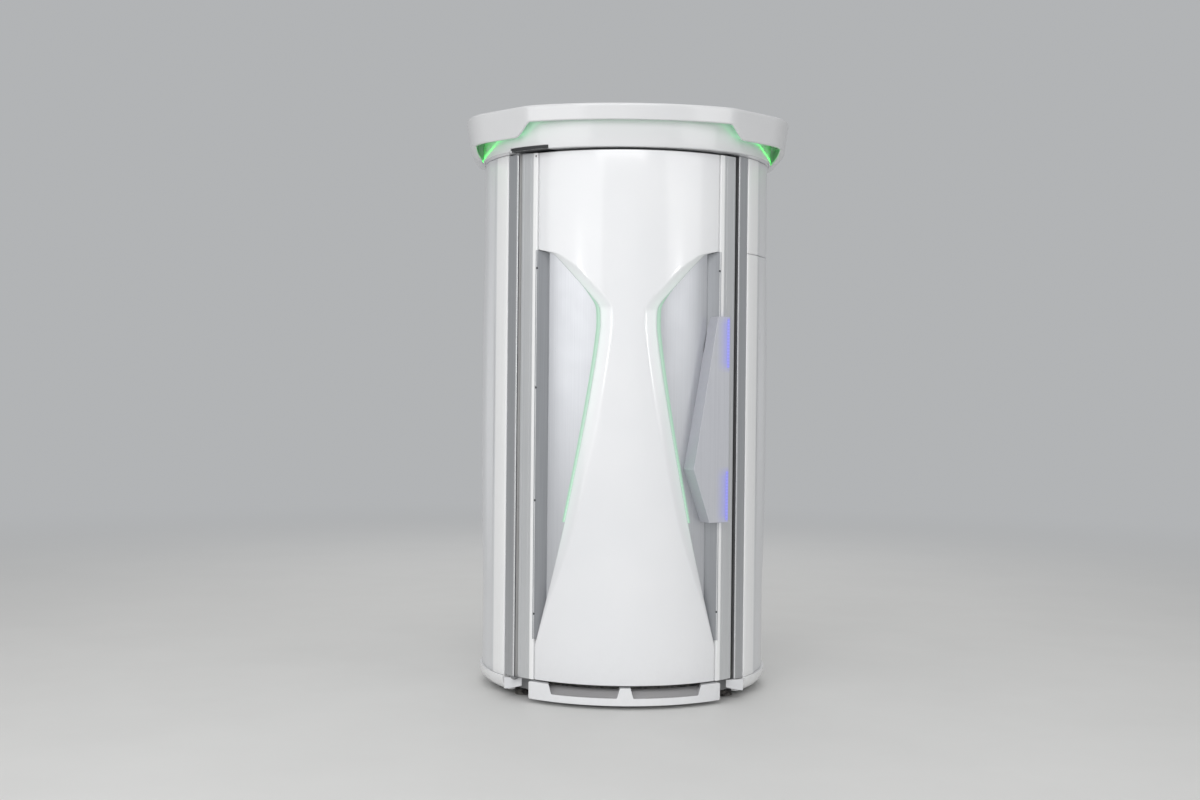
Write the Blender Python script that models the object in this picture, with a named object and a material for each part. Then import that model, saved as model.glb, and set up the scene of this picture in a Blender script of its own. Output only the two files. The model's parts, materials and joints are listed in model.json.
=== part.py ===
"""Stand-up light therapy booth: a round cabin with a hinged, curved door and a wide canopy.

Metres, +Z up, +Y to the back, origin on the floor under the middle of the booth.
Angles are in degrees from the front (-Y), positive towards +X, the latch side.
"""

import math

import bmesh
import bpy

# Heights
BOOTH_HEIGHT = 2.310
DOOR_BOTTOM = 0.090
CANOPY_HEIGHT = 0.168
HINGE_PLATE = 0.0035
RUNNING_GAP = 0.0004
FOOT_HEIGHT = 0.020
PLINTH_DROP = 0.006
PLINTH_LOWER = 0.004
RAIL_HEIGHT = 0.040
HOLDER_HEIGHT = 0.025

# Radii and walls
BODY_RADIUS = 0.585
DOOR_DEPTH = 0.130
SHIELD_WALL = 0.004
SKIN_WALL = 0.006
SKIN_DEPTH = 0.035
SKIN_ROLL = 0.014
INSERT_WALL = 0.003
INSERT_BORDER = 0.0025
PANEL_WALL = 0.002
SHELL_WALL = 0.010
SHELL_PROUD = 0.003
PROFILE_WALL = 0.004
LAMP_RADIUS = 0.019
LAMP_GAP = 0.027
LAMP_SIDES = 7
HOLDER_LAP = 0.002
TRIM_PROUD = 0.001
FIT = 0.0005
CURVE_FIT = 0.0009

# Angles round the body
DOOR_HALF_ANGLE = 45.9
PROFILE_ANGLE = 6.15
TRIM_ANGLE = 2.1
EDGE_GAP_ANGLE = 2.1
POST_ANGLE = 6.3
FRONT_STRIP_ANGLE = 10.5
REAR_COVER_HALF_ANGLE = 30.0
COLUMN_HALF_ANGLE = 12.0
BORDER_ANGLE = 4.8
LAMP_PITCH = 6.2
SHELL_STEP = 5.0
COVER_STEP = 6.0
SEAM_ANGLE = 0.06
ARC_STEP = 4.0
WALL_STEP = 5.5
DISC_SIDES = 48
FAN_SIDES = 20

# Door skin: half width of the hourglass at its named heights
SKIN_SHOULDER_Z = 1.766
SKIN_WAIST_Z = 1.470
SKIN_TIP_Z = 0.250
SKIN_WAIST_HALF = 0.118
SKIN_FLARE_ABOVE = 1.7
SKIN_FLARE_BELOW = 1.3
SKIN_COLUMNS = 10
SKIN_ROWS_ABOVE = 12
SKIN_ROWS_BELOW = 9
SHOULDER_SHARE = 0.16
SHOULDER_POWER = 12.0
SLOPE_WIDTH = 0.048
SLOPE_DROP = 0.024
SLOPE_FADE = 0.110
SLOPE_FOLLOW = 0.75
ROLL_SHARES = ((0.5, 0.13), (0.87, 0.5), (1.0, 1.0))
SLOPE_SHARES = ((0.18, 0.05), (0.90, 0.72), (1.0, 1.0))
WINDOW_LAP = 0.035

# Light strips
LED_TOP = 1.570
LED_BOTTOM = 0.710
LED_WIDTH = 0.005
LED_DEPTH = 0.006
LED_GAP = 0.0009

# Handle: a flat wedge plate seen square on from HANDLE_ANGLE
HANDLE_ANGLE = 33.0
HANDLE_PROUD = 0.023
HANDLE_PLATE = 0.008
HANDLE_DEPTH = 0.090
FINGER_LAP = 0.002
HANDLE_TOP = 1.512
HANDLE_BOTTOM = 0.712
HANDLE_KNEE = 0.919
HANDLE_RIGHT = 0.080
HANDLE_TOP_LEFT = 0.022
HANDLE_BOTTOM_LEFT = -0.011
HANDLE_KNEE_LEFT = -0.089
HANDLE_LIGHT_WIDTH = 0.012
HANDLE_LIGHT_LENGTH = 0.190
HANDLE_LIGHT_INSET = 0.008

# Hinge
PIN_STAND = 0.007
PIN_RADIUS = 0.005
EYE_RADIUS = 0.013
ARM_ANGLE = 6.0
LEAF_EDGE = 0.012
LEAF_WIDTH = 0.048
LEAF_INSET_ANGLE = 1.0

# Latch seal
SEAL_INSET = 0.012
SEAL_DEPTH = 0.040
SEAL_GAP_ANGLE = 0.3

# Side shells
SHELL_SEAM_Z = 1.770
WING_TOP = 1.770
WING_BOTTOM = 0.560
WING_MIDDLE = 1.150
WING_BULGE = 0.007
GROOVE_DEPTH = 0.006
GROOVE_ANGLE = 4.0
WING_SLIM = 0.5
WING_FADE_ANGLE = 20.0
SHELL_ROWS = 9

# Base
SKIRT_TOP = 0.082
SKIRT_PROUD = 0.008
SKIRT_INSET = 0.050
SKIRT_STEPS = 5
BASE_INSET = 0.055
BASE_PLATE = 0.012
PLINTH_PROUD = 0.015
PLINTH_HALF_ANGLE = 39.2
SCOOP_INNER = 0.020
SCOOP_OUTER = 0.296
SCOOP_FLOOR = 0.045
SCOOP_SLANT = 0.012
FILTER_WALL = 0.006
FOOT_INSET = 0.030
FOOT_PAD_RADIUS = 0.032
FOOT_STEM_RADIUS = 0.012
FOOT_ANGLES = {"front_left": -54.0, "front_right": 54.0, "rear_left": -135.0, "rear_right": 135.0}
FLOOR_WALL = 0.010
FLOOR_GAP = 0.003

# Canopy plan and edge
CAP_FRONT_LAP = 0.040
CAP_SIDE_LAP = 0.063
CAP_ARC_RADIUS = 1.000
CAP_CHAMFER_RUN = 0.170
CAP_STEP_RUN = 0.055
CAP_CORNER_RUN = 0.090
CAP_SIDE_START = 0.140
CAP_DRAFT = 0.150
CAP_WALL = 0.012
CAP_EDGE = 0.010
BAND_FRONT_HEIGHT = 0.0615
BAND_CHAMFER_HEIGHT = 0.114
BAND_SIDE_HEIGHT = 0.152
LIP_WALL = 0.008
CAP_ARC_STEPS = 5
CAP_CORNER_STEPS = 5
CUP_START = 0.5
CUP_CURL = 0.030
CURL_SHARE = 0.3
LIGHT_WIDTH = 0.006
LIGHT_HEIGHT = 0.008
LIGHT_RISE = 0.002
FASCIA_SIDE_PROUD = 0.009
FASCIA_FRONT_PROUD = 0.015
FASCIA_SQUARENESS = 2.3
FASCIA_WALL = 0.006
FASCIA_RISE = 0.0008
FASCIA_STATIONS = 48
SLOT_HEIGHT = 0.013
SLOT_REACH = 0.050
SLOT_BEHIND = 1.5
SLOT_AHEAD = 16.5
LID_WALL = 0.006
LID_DROP = 0.006
CEILING_WALL = 0.006

# Fan and grilles
FAN_RADIUS = 0.170
FAN_TIP_GAP = 0.006
FAN_HUB_RADIUS = 0.050
FAN_HUB_HEIGHT = 0.036
FAN_BLADES = 7
FAN_BLADE_WALL = 0.004
FAN_BLADE_ROOT = 0.008
FAN_ROOT_CHORD = 0.044
FAN_TIP_CHORD = 0.080
FAN_ROOT_PITCH = 38.0
FAN_TIP_PITCH = 24.0
FAN_TIP_TRIM = 0.006
FAN_MOTOR_HEIGHT = 0.045
FAN_HUB_GAP = 0.012
FAN_SPOKE = 0.010
FAN_SHROUD_WALL = 0.004
FAN_SHAFT_RADIUS = 0.008
GRILLE_RIM = 0.014
GRILLE_WALL = 0.004
GRILLE_BAR = 0.006
GRILLE_BARS = 7

# Rear cover, control panel and gland
LOUVRES = 4
LOUVRE_PITCH = 0.030
LOUVRE_HEIGHT = 0.010
LOUVRE_HALF_ANGLE = 18.0
LOUVRE_ROWS = (0.300, 1.750)
PANEL_HALF_WIDTH = 0.060
PANEL_BOTTOM = 1.180
PANEL_TOP = 1.460
PANEL_DEPTH = 0.018
BUTTON_RADIUS = 0.015
BUTTON_PROUD = 0.006
BUTTON_LENGTH = 0.018
BUTTON_DROP = 0.090
BUTTON_SPACING = 0.056
GLAND_Z = 0.170
GLAND_RADIUS = 0.014
GLAND_LENGTH = 0.020
GLAND_BORE = 0.006

# Derived levels, from the floor up
DOOR_TOP = BOOTH_HEIGHT - CANOPY_HEIGHT
BASE_TOP = DOOR_BOTTOM - 2 * HINGE_PLATE - 3 * RUNNING_GAP
PLINTH_TOP = DOOR_BOTTOM - PLINTH_DROP
CEILING_UNDER = DOOR_TOP + 2 * HINGE_PLATE + 3 * RUNNING_GAP
FASCIA_BOTTOM = CEILING_UNDER + FASCIA_RISE
BAND_FRONT_Z = BOOTH_HEIGHT - BAND_FRONT_HEIGHT
BAND_CHAMFER_Z = BOOTH_HEIGHT - BAND_CHAMFER_HEIGHT
BAND_SIDE_Z = BOOTH_HEIGHT - BAND_SIDE_HEIGHT
WALL_BOTTOM = BASE_TOP + FIT
WALL_TOP = CEILING_UNDER - FIT
LID_TOP = BOOTH_HEIGHT - LID_DROP
LID_UNDER = LID_TOP - LID_WALL
LAMP_BOTTOM = DOOR_BOTTOM + RAIL_HEIGHT + FIT
LAMP_TOP = DOOR_TOP - RAIL_HEIGHT - FIT

# Derived radii and angles
SHIELD_RADIUS = BODY_RADIUS - DOOR_DEPTH
SKIN_INNER = BODY_RADIUS - SKIN_DEPTH
INSERT_FACE = SKIN_INNER - CURVE_FIT - INSERT_BORDER
INSERT_BACK = INSERT_FACE - INSERT_WALL
PANEL_BACK = INSERT_BACK - FIT - PANEL_WALL
SHIELD_BACK = SHIELD_RADIUS + SHIELD_WALL
LAMP_CIRCLE = SHIELD_BACK + LAMP_GAP + LAMP_RADIUS
SHELL_RADIUS = BODY_RADIUS + SHELL_PROUD
SHELL_INNER = SHELL_RADIUS - SHELL_WALL
BASE_RADIUS = BODY_RADIUS - BASE_INSET
FOOT_CIRCLE = BASE_RADIUS - FOOT_INSET
HANDLE_STAND = BODY_RADIUS + HANDLE_PROUD
FASCIA_HALF_WIDTH = SHELL_RADIUS + FASCIA_SIDE_PROUD
FASCIA_HALF_DEPTH = BODY_RADIUS + FASCIA_FRONT_PROUD
CAP_SIDE = FASCIA_HALF_WIDTH + CAP_SIDE_LAP
CAP_FRONT = FASCIA_HALF_DEPTH + CAP_FRONT_LAP
CAP_CHAMFER_HALF = CAP_SIDE - CAP_CORNER_RUN
CAP_ARC_HALF = CAP_CHAMFER_HALF - CAP_CHAMFER_RUN
CAP_STEP_HALF = CAP_ARC_HALF + CAP_STEP_RUN
PROFILE_INNER_ANGLE = DOOR_HALF_ANGLE - PROFILE_ANGLE
TRIM_OUTER_ANGLE = PROFILE_INNER_ANGLE - SEAM_ANGLE
TRIM_INNER_ANGLE = TRIM_OUTER_ANGLE - TRIM_ANGLE
SKIN_ANGLE = TRIM_INNER_ANGLE - SEAM_ANGLE
SKIN_FULL_HALF = BODY_RADIUS * math.sin(math.radians(SKIN_ANGLE))
POST_START = DOOR_HALF_ANGLE + EDGE_GAP_ANGLE
POST_END = POST_START + POST_ANGLE
SHELL_START = POST_END + SEAM_ANGLE
SHELL_END = 180.0 - REAR_COVER_HALF_ANGLE - SEAM_ANGLE
COLUMN_START = 180.0 - COLUMN_HALF_ANGLE
HINGE_ANGLE = -(DOOR_HALF_ANGLE + EDGE_GAP_ANGLE / 2)
HINGE_RADIUS = BODY_RADIUS + PIN_STAND

# Colour, roughness, metallic and glow of each finish
FINISHES = {
    "gloss": ((0.86, 0.87, 0.88), 0.18, 0.0, 0.0),
    "silver": ((0.62, 0.64, 0.66), 0.34, 0.9, 0.0),
    "alloy": ((0.50, 0.52, 0.53), 0.38, 0.9, 0.0),
    "steel": ((0.30, 0.31, 0.32), 0.45, 0.9, 0.0),
    "dark": ((0.03, 0.03, 0.03), 0.60, 0.0, 0.0),
    "mirror": ((0.85, 0.85, 0.85), 0.10, 1.0, 0.0),
    "clear": ((0.92, 0.93, 0.94), 0.08, 0.0, 0.0),
    "lamp": ((0.95, 0.55, 0.52), 0.30, 0.0, 0.0),
    "green": ((0.10, 0.90, 0.35), 0.40, 0.0, 4.0),
    "blue": ((0.22, 0.20, 0.95), 0.40, 0.0, 4.0),
    "rubber": ((0.05, 0.05, 0.05), 0.80, 0.0, 0.0),
    "panel": ((0.08, 0.08, 0.09), 0.35, 0.0, 0.0),
    "start": ((0.12, 0.60, 0.25), 0.40, 0.0, 0.0),
    "stop": ((0.70, 0.08, 0.08), 0.40, 0.0, 0.0),
}
SHARP_ANGLE = math.radians(32.0)


def clear_scene():
    for obj in list(bpy.data.objects):
        bpy.data.objects.remove(obj, do_unlink=True)


def finish(obj, kind):
    colour, roughness, metallic, glow = FINISHES[kind]
    made = bpy.data.materials.new(obj.name)
    made.use_nodes = True
    shader = made.node_tree.nodes["Principled BSDF"]
    shader.inputs["Base Color"].default_value = (*colour, 1.0)
    shader.inputs["Roughness"].default_value = roughness
    shader.inputs["Metallic"].default_value = metallic
    shader.inputs["Emission Color"].default_value = (*colour, 1.0)
    shader.inputs["Emission Strength"].default_value = glow
    obj.data.materials.append(made)


def loft(name, rings, kind, closed=False):
    """One closed body through rings of points; an open run of rings is capped at both ends."""
    solid = bmesh.new()
    rows = [[solid.verts.new(point) for point in ring] for ring in rings]
    spans = list(zip(rows, rows[1:]))
    if closed:
        spans.append((rows[-1], rows[0]))
    else:
        solid.faces.new(rows[0])
        solid.faces.new(rows[-1])
    for low, high in spans:
        for i in range(len(low)):
            j = (i + 1) % len(low)
            solid.faces.new((low[i], low[j], high[j], high[i]))
    bmesh.ops.recalc_face_normals(solid, faces=solid.faces)
    mesh = bpy.data.meshes.new(name)
    solid.to_mesh(mesh)
    solid.free()
    mesh.shade_smooth()
    mesh.set_sharp_from_angle(angle=SHARP_ANGLE)
    obj = bpy.data.objects.new(name, mesh)
    bpy.context.scene.collection.objects.link(obj)
    finish(obj, kind)
    return obj


def polar(radius, angle, z):
    turn = math.radians(angle)
    return (radius * math.sin(turn), -radius * math.cos(turn), z)


def span_angle(length, radius):
    return math.degrees(length / radius)


def spread(start, end, step=ARC_STEP):
    count = max(1, math.ceil(abs(end - start) / step - 1e-6))
    return [start + (end - start) * i / count for i in range(count + 1)]


def arc(radius, start, end):
    return [polar(radius, angle, 0.0)[:2] for angle in spread(start, end)]


def sweep(name, profile, start, end, kind, step=ARC_STEP):
    """A (radius, z) profile carried round the booth's axis between two angles."""
    rings = [[polar(r, angle, z) for r, z in profile] for angle in spread(start, end, step)]
    return loft(name, rings, kind)


def sector(name, inner, outer, low, high, start, end, kind, step=ARC_STEP):
    profile = [(inner, low), (outer, low), (outer, high), (inner, high)]
    return sweep(name, profile, start, end, kind, step)


def ring(name, inner, outer, low, high, kind, sides=FAN_SIDES):
    profile = [(inner, low), (outer, low), (outer, high), (inner, high)]
    angles = [360.0 * i / sides for i in range(sides)]
    rings = [[polar(r, angle, z) for r, z in profile] for angle in angles]
    return loft(name, rings, kind, closed=True)


def prism(name, outline, low, high, kind):
    rings = [[(x, y, z) for x, y in outline] for z in (low, high)]
    return loft(name, rings, kind)


def circle(radius, centre=(0.0, 0.0), sides=FAN_SIDES):
    points = [polar(radius, 360.0 * i / sides, 0.0) for i in range(sides)]
    return [(x + centre[0], y + centre[1]) for x, y, _ in points]


def drum(name, radius, low, high, kind, centre=(0.0, 0.0), sides=FAN_SIDES):
    return prism(name, circle(radius, centre, sides), low, high, kind)


def rod(name, radius, x, z, front, back, kind, sides=20):
    """A round bar along Y."""
    rings = [[(x + u, y, z + v) for u, v in circle(radius, sides=sides)] for y in (front, back)]
    return loft(name, rings, kind)


def box(name, x, y, z, kind):
    outline = [(x[0], y[0]), (x[1], y[0]), (x[1], y[1]), (x[0], y[1])]
    return prism(name, outline, z[0], z[1], kind)


def combine(target, other, operation):
    step = target.modifiers.new(other.name, "BOOLEAN")
    step.operation = operation
    step.object = other
    other.hide_render = True
    other.display_type = "WIRE"


def cut(target, *others):
    for other in others:
        combine(target, other, "DIFFERENCE")


def join(target, *others):
    for other in others:
        combine(target, other, "UNION")


def merge_meshes(name, objects):
    """Several separate helpers as one helper, so that a single cut or union takes them all."""
    solid = bmesh.new()
    for obj in objects:
        solid.from_mesh(obj.data)
        bpy.data.objects.remove(obj, do_unlink=True)
    mesh = bpy.data.meshes.new(name)
    solid.to_mesh(mesh)
    solid.free()
    made = bpy.data.objects.new(name, mesh)
    bpy.context.scene.collection.objects.link(made)
    return made


def pivot(name, place):
    made = bpy.data.objects.new(name, None)
    made.location = place
    bpy.context.scene.collection.objects.link(made)
    bpy.context.view_layer.update()
    return made


def hang(parent, objects):
    for obj in objects:
        obj.parent = parent
        obj.matrix_parent_inverse = parent.matrix_world.inverted()


def sides():
    return (("left", -1.0), ("right", 1.0))


def skin_half_width(z):
    """Half width of the hourglass skin: full at both ends, drawn in to the waist, with square shoulders."""
    if z >= SKIN_WAIST_Z:
        share = min((z - SKIN_WAIST_Z) / (SKIN_SHOULDER_Z - SKIN_WAIST_Z), 1.0)
        reach = (1.0 - SHOULDER_SHARE) * share ** SKIN_FLARE_ABOVE + SHOULDER_SHARE * share ** SHOULDER_POWER
    else:
        share = (SKIN_WAIST_Z - z) / (SKIN_WAIST_Z - SKIN_TIP_Z)
        reach = min(share, 1.0) ** SKIN_FLARE_BELOW
    return SKIN_WAIST_HALF + (SKIN_FULL_HALF - SKIN_WAIST_HALF) * reach


def skin_half_angle(z):
    return math.degrees(math.asin(skin_half_width(z) / BODY_RADIUS))


def even(start, end, count):
    return [start + (end - start) * i / count for i in range(count + 1)]


def skin_ring(z):
    """Section of the skin at one height: a channel open to the back, edges rolled, and sloped at the neck."""
    half = skin_half_angle(z)
    neck = min((SKIN_FULL_HALF - skin_half_width(z)) / SLOPE_FADE, 1.0)
    width = span_angle(SKIN_ROLL + (SLOPE_WIDTH - SKIN_ROLL) * neck, BODY_RADIUS)
    drop = SKIN_ROLL + (SLOPE_DROP - SKIN_ROLL) * neck
    wall_angle = span_angle(SKIN_WALL, BODY_RADIUS)
    outer, inner = [], []
    for roll, slope in zip(ROLL_SHARES, SLOPE_SHARES):
        across, down = ((1.0 - neck) * r + neck * s for r, s in zip(roll, slope))
        angle = half - width * (1.0 - across)
        outer.append((BODY_RADIUS - drop * down, angle))
        inner.append((BODY_RADIUS - SKIN_WALL - SLOPE_FOLLOW * drop * down, angle - wall_angle))
    foot = [(SKIN_INNER, half), (SKIN_INNER, half - wall_angle)]
    right = outer + foot + inner[::-1]
    face = [(BODY_RADIUS, angle) for angle in even(width - half, half - width, SKIN_COLUMNS)]
    reach = half - width - wall_angle
    back = [(BODY_RADIUS - SKIN_WALL, angle) for angle in even(reach, -reach, SKIN_COLUMNS)]
    left = [(radius, -angle) for radius, angle in reversed(right)]
    return [polar(radius, angle, z) for radius, angle in face + right + back + left]


def skin_heights(end, flare, count):
    """Heights from the waist to one end of the flare, closer together where the edge runs flatter."""
    shares = [(t + t ** (1.0 / flare)) / 2 for t in even(0.0, 1.0, count)]
    return [SKIN_WAIST_Z + (end - SKIN_WAIST_Z) * share for share in shares]


def skin_rows():
    below = skin_heights(SKIN_TIP_Z, SKIN_FLARE_BELOW, SKIN_ROWS_BELOW)
    above = skin_heights(SKIN_SHOULDER_Z, SKIN_FLARE_ABOVE, SKIN_ROWS_ABOVE)
    return [DOOR_BOTTOM] + below[::-1] + above[1:] + [DOOR_TOP]


def edge_half_angle(z):
    """Half angle of the skin's edge as built, straight between its rows."""
    rows = skin_rows()
    low = max(row for row in rows if row <= z)
    high = min(row for row in rows if row > z)
    share = (z - low) / (high - low)
    return (1.0 - share) * skin_half_angle(low) + share * skin_half_angle(high)


def make_skin():
    return loft("door_skin", [skin_ring(z) for z in skin_rows()], "gloss")


def make_insert(side, sign):
    """A silver panel behind the window, with a raised border along its outer edge."""
    waist = math.degrees(math.asin(SKIN_WAIST_HALF / BODY_RADIUS))
    start = waist - span_angle(WINDOW_LAP, BODY_RADIUS)
    border = SKIN_ANGLE - BORDER_ANGLE
    outline = arc(INSERT_BACK, sign * start, sign * SKIN_ANGLE)
    outline += arc(INSERT_FACE + INSERT_BORDER, sign * SKIN_ANGLE, sign * border)
    outline += arc(INSERT_FACE, sign * border, sign * start)
    low = SKIN_TIP_Z - WINDOW_LAP
    high = SKIN_SHOULDER_Z + WINDOW_LAP
    return prism(f"door_insert_{side}", outline, low, high, "silver")


def make_led(side, sign):
    """A light strip that follows the slanted wall of the skin, standing on the insert."""
    inner = INSERT_FACE + FIT
    rings = []
    between = [z for z in skin_rows() if LED_BOTTOM < z < LED_TOP]
    for z in [LED_BOTTOM] + between + [LED_TOP]:
        near = edge_half_angle(z) + span_angle(LED_GAP, inner)
        far = near + span_angle(LED_WIDTH, inner)
        corners = [(inner, near), (inner, far), (inner + LED_DEPTH, far), (inner + LED_DEPTH, near)]
        rings.append([polar(radius, sign * angle, z) for radius, angle in corners])
    return loft(f"door_led_{side}", rings, "green")


def channel(start, end, wall):
    """Outline of a channel section between two angles, open at its start."""
    inset = math.copysign(span_angle(wall, BODY_RADIUS), end - start)
    outline = arc(SHIELD_RADIUS, start, end)
    outline += arc(BODY_RADIUS, end, start)
    outline += arc(BODY_RADIUS - wall, start, end - inset)
    outline += arc(SHIELD_RADIUS + wall, end - inset, start)
    return outline


def make_door_edge(side, sign):
    outline = channel(sign * PROFILE_INNER_ANGLE, sign * DOOR_HALF_ANGLE, PROFILE_WALL)
    profile = prism(f"door_frame_{side}", outline, DOOR_BOTTOM, DOOR_TOP, "alloy")
    inner = PANEL_BACK + PANEL_WALL + FIT
    trim = sector(f"door_trim_{side}", inner, BODY_RADIUS + TRIM_PROUD, DOOR_BOTTOM, DOOR_TOP,
                  sign * TRIM_INNER_ANGLE, sign * TRIM_OUTER_ANGLE, "gloss")
    return [profile, trim]


def lamp_bank(name, start, end, step=ARC_STEP):
    """Lamp tubes standing between two curved holder rails."""
    inner = LAMP_CIRCLE - LAMP_RADIUS - HOLDER_LAP
    outer = PANEL_BACK - FIT
    margin = LAMP_PITCH / 2
    count = math.floor((abs(end - start) - 2 * margin) / LAMP_PITCH) + 1
    first = (start + end) / 2 - LAMP_PITCH * (count - 1) / 2
    tubes = []
    for i in range(count):
        centre = polar(LAMP_CIRCLE, first + LAMP_PITCH * i, 0.0)[:2]
        low = LAMP_BOTTOM + HOLDER_HEIGHT / 2
        high = LAMP_TOP - HOLDER_HEIGHT / 2
        tubes.append(drum(f"{name}_tube", LAMP_RADIUS, low, high, "lamp", centre, LAMP_SIDES))
    rails = []
    for low in (LAMP_BOTTOM, LAMP_TOP - HOLDER_HEIGHT):
        high = low + HOLDER_HEIGHT
        rails.append(sector(f"{name}_rail", inner, outer, low, high, start, end, "lamp", step))
    bank = merge_meshes(name, rails)
    finish(bank, "lamp")
    join(bank, merge_meshes(f"{name}_tubes", tubes))
    return bank


def make_door_inside():
    wide = TRIM_OUTER_ANGLE
    back = PANEL_BACK
    pieces = [
        sector("door_back_panel", back, back + PANEL_WALL, DOOR_BOTTOM, DOOR_TOP, -wide, wide, "mirror"),
        sector("door_shield", SHIELD_RADIUS, SHIELD_BACK, DOOR_BOTTOM, DOOR_TOP, -wide, wide, "clear"),
        lamp_bank("door_lamp_bank", -wide, wide),
    ]
    for name, low in (("door_bottom_rail", DOOR_BOTTOM), ("door_top_rail", DOOR_TOP - RAIL_HEIGHT)):
        high = low + RAIL_HEIGHT
        pieces.append(sector(name, SHIELD_BACK + FIT, back - FIT, low, high, -wide, wide, "alloy"))
    return pieces


def handle_point(across, out):
    """Plan point in the handle's own directions: across its face, and out from the booth's axis."""
    turn = math.radians(HANDLE_ANGLE)
    x = across * math.cos(turn) + out * math.sin(turn)
    y = across * math.sin(turn) - out * math.cos(turn)
    return (x, y)


def handle_block(name, corners, back, front, kind):
    rings = []
    for out in (back, front):
        rings.append([(*handle_point(across, out), z) for across, z in corners])
    return loft(name, rings, kind)


def make_handle():
    """A wedge plate that stands on the insert and reaches over the edge profile, leaving a finger gap."""
    corners = [
        (HANDLE_TOP_LEFT, HANDLE_TOP),
        (HANDLE_RIGHT, HANDLE_TOP),
        (HANDLE_RIGHT, HANDLE_BOTTOM),
        (HANDLE_BOTTOM_LEFT, HANDLE_BOTTOM),
        (HANDLE_KNEE_LEFT, HANDLE_KNEE),
    ]
    deep = HANDLE_STAND - HANDLE_DEPTH
    handle = handle_block("door_handle", corners, deep, HANDLE_STAND, "silver")
    low = HANDLE_BOTTOM - HANDLE_DEPTH
    high = HANDLE_TOP + HANDLE_DEPTH
    border = SKIN_ANGLE - BORDER_ANGLE - span_angle(FIT, SKIN_INNER)
    under = deep - HANDLE_DEPTH
    seat = sector("handle_seat", under, INSERT_FACE + FIT, low, high, 0.0, DOOR_HALF_ANGLE, "silver")
    step_face = INSERT_FACE + INSERT_BORDER + FIT
    step = sector("handle_step", under, step_face, low, high, border, DOOR_HALF_ANGLE, "silver")
    edge_face = BODY_RADIUS + TRIM_PROUD + FIT
    edge = sector("handle_edge", under, edge_face, low, high, SKIN_ANGLE, DOOR_HALF_ANGLE, "silver")
    gap_start = TRIM_INNER_ANGLE - span_angle(FINGER_LAP, BODY_RADIUS)
    gap_face = HANDLE_STAND - HANDLE_PLATE
    gap_across = gap_face * math.sin(math.radians(gap_start - HANDLE_ANGLE))
    gap_corners = [
        (gap_across, low),
        (HANDLE_RIGHT + HANDLE_DEPTH, low),
        (HANDLE_RIGHT + HANDLE_DEPTH, high),
        (gap_across, high),
    ]
    finger_gap = handle_block("handle_gap", gap_corners, under, gap_face, "silver")
    cut(handle, seat, step, edge, finger_gap)
    pieces = [handle]
    inner = HANDLE_RIGHT - HANDLE_LIGHT_WIDTH
    for name, low in (
        ("handle_light_lower", HANDLE_BOTTOM + HANDLE_LIGHT_INSET),
        ("handle_light_upper", HANDLE_TOP - HANDLE_LIGHT_INSET - HANDLE_LIGHT_LENGTH),
    ):
        high = low + HANDLE_LIGHT_LENGTH
        lens = [(inner, low), (HANDLE_RIGHT, low), (HANDLE_RIGHT, high), (inner, high)]
        pieces.append(handle_block(name, lens, gap_face, HANDLE_STAND, "blue"))
        notch = [
            (inner - FIT, low - FIT),
            (HANDLE_RIGHT + HANDLE_PLATE, low - FIT),
            (HANDLE_RIGHT + HANDLE_PLATE, high + FIT),
            (inner - FIT, high + FIT),
        ]
        out = HANDLE_STAND + HANDLE_PLATE
        cut(handle, handle_block(f"{name}_notch", notch, deep, out, "blue"))
    return pieces


def hinge_plate(name, far_angle, near_angle, low):
    """A flat hinge leaf from the pin's eye to a seat between two angles."""
    eye = polar(HINGE_RADIUS, HINGE_ANGLE, 0.0)[:2]
    outer = BODY_RADIUS - LEAF_EDGE
    inner = outer - LEAF_WIDTH
    corners = [(outer, far_angle), (inner, far_angle), (inner, near_angle)]
    outline = [eye] + [polar(radius, angle, 0.0)[:2] for radius, angle in corners]
    leaf = prism(name, outline, low, low + HINGE_PLATE, "steel")
    join(leaf, drum(f"{name}_eye", EYE_RADIUS, low, low + HINGE_PLATE, "steel", eye, 24))
    return leaf


def make_hinge(end, arm_low, bracket_low):
    """The door's arm and the cabin's bracket with its pin, at the top or the bottom of the door."""
    eye = polar(HINGE_RADIUS, HINGE_ANGLE, 0.0)[:2]
    near = DOOR_HALF_ANGLE - LEAF_INSET_ANGLE
    arm = hinge_plate(f"{end}_hinge_arm", -(near - ARM_ANGLE), -near, arm_low)
    bore_radius = PIN_RADIUS + RUNNING_GAP
    bore = drum(f"{end}_bore", bore_radius, arm_low - EYE_RADIUS, arm_low + EYE_RADIUS, "steel", eye, 24)
    cut(arm, bore)
    first = POST_START + LEAF_INSET_ANGLE
    bracket = hinge_plate(f"{end}_hinge_bracket", -(POST_END - LEAF_INSET_ANGLE), -first, bracket_low)
    levels = (arm_low, arm_low + HINGE_PLATE, bracket_low + HINGE_PLATE / 2)
    pin = drum(f"{end}_pin", PIN_RADIUS, min(levels), max(levels), "steel", eye, 24)
    join(bracket, pin)
    return arm, bracket


def make_posts():
    """Channel posts beside the door; the left one stands between the two hinge brackets."""
    leaf = HINGE_PLATE + 2 * RUNNING_GAP
    left = channel(-POST_END, -POST_START, PROFILE_WALL)
    right = channel(POST_END, POST_START, PROFILE_WALL)
    seal_start = DOOR_HALF_ANGLE + SEAL_GAP_ANGLE
    seal_outer = BODY_RADIUS - SEAL_INSET
    return [
        prism("left_post", left, BASE_TOP + leaf, CEILING_UNDER - leaf, "alloy"),
        prism("right_post", right, WALL_BOTTOM, WALL_TOP, "alloy"),
        sector("latch_seal", seal_outer - SEAL_DEPTH, seal_outer, WALL_BOTTOM, WALL_TOP,
               seal_start, POST_START - SEAM_ANGLE, "rubber"),
    ]


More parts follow.
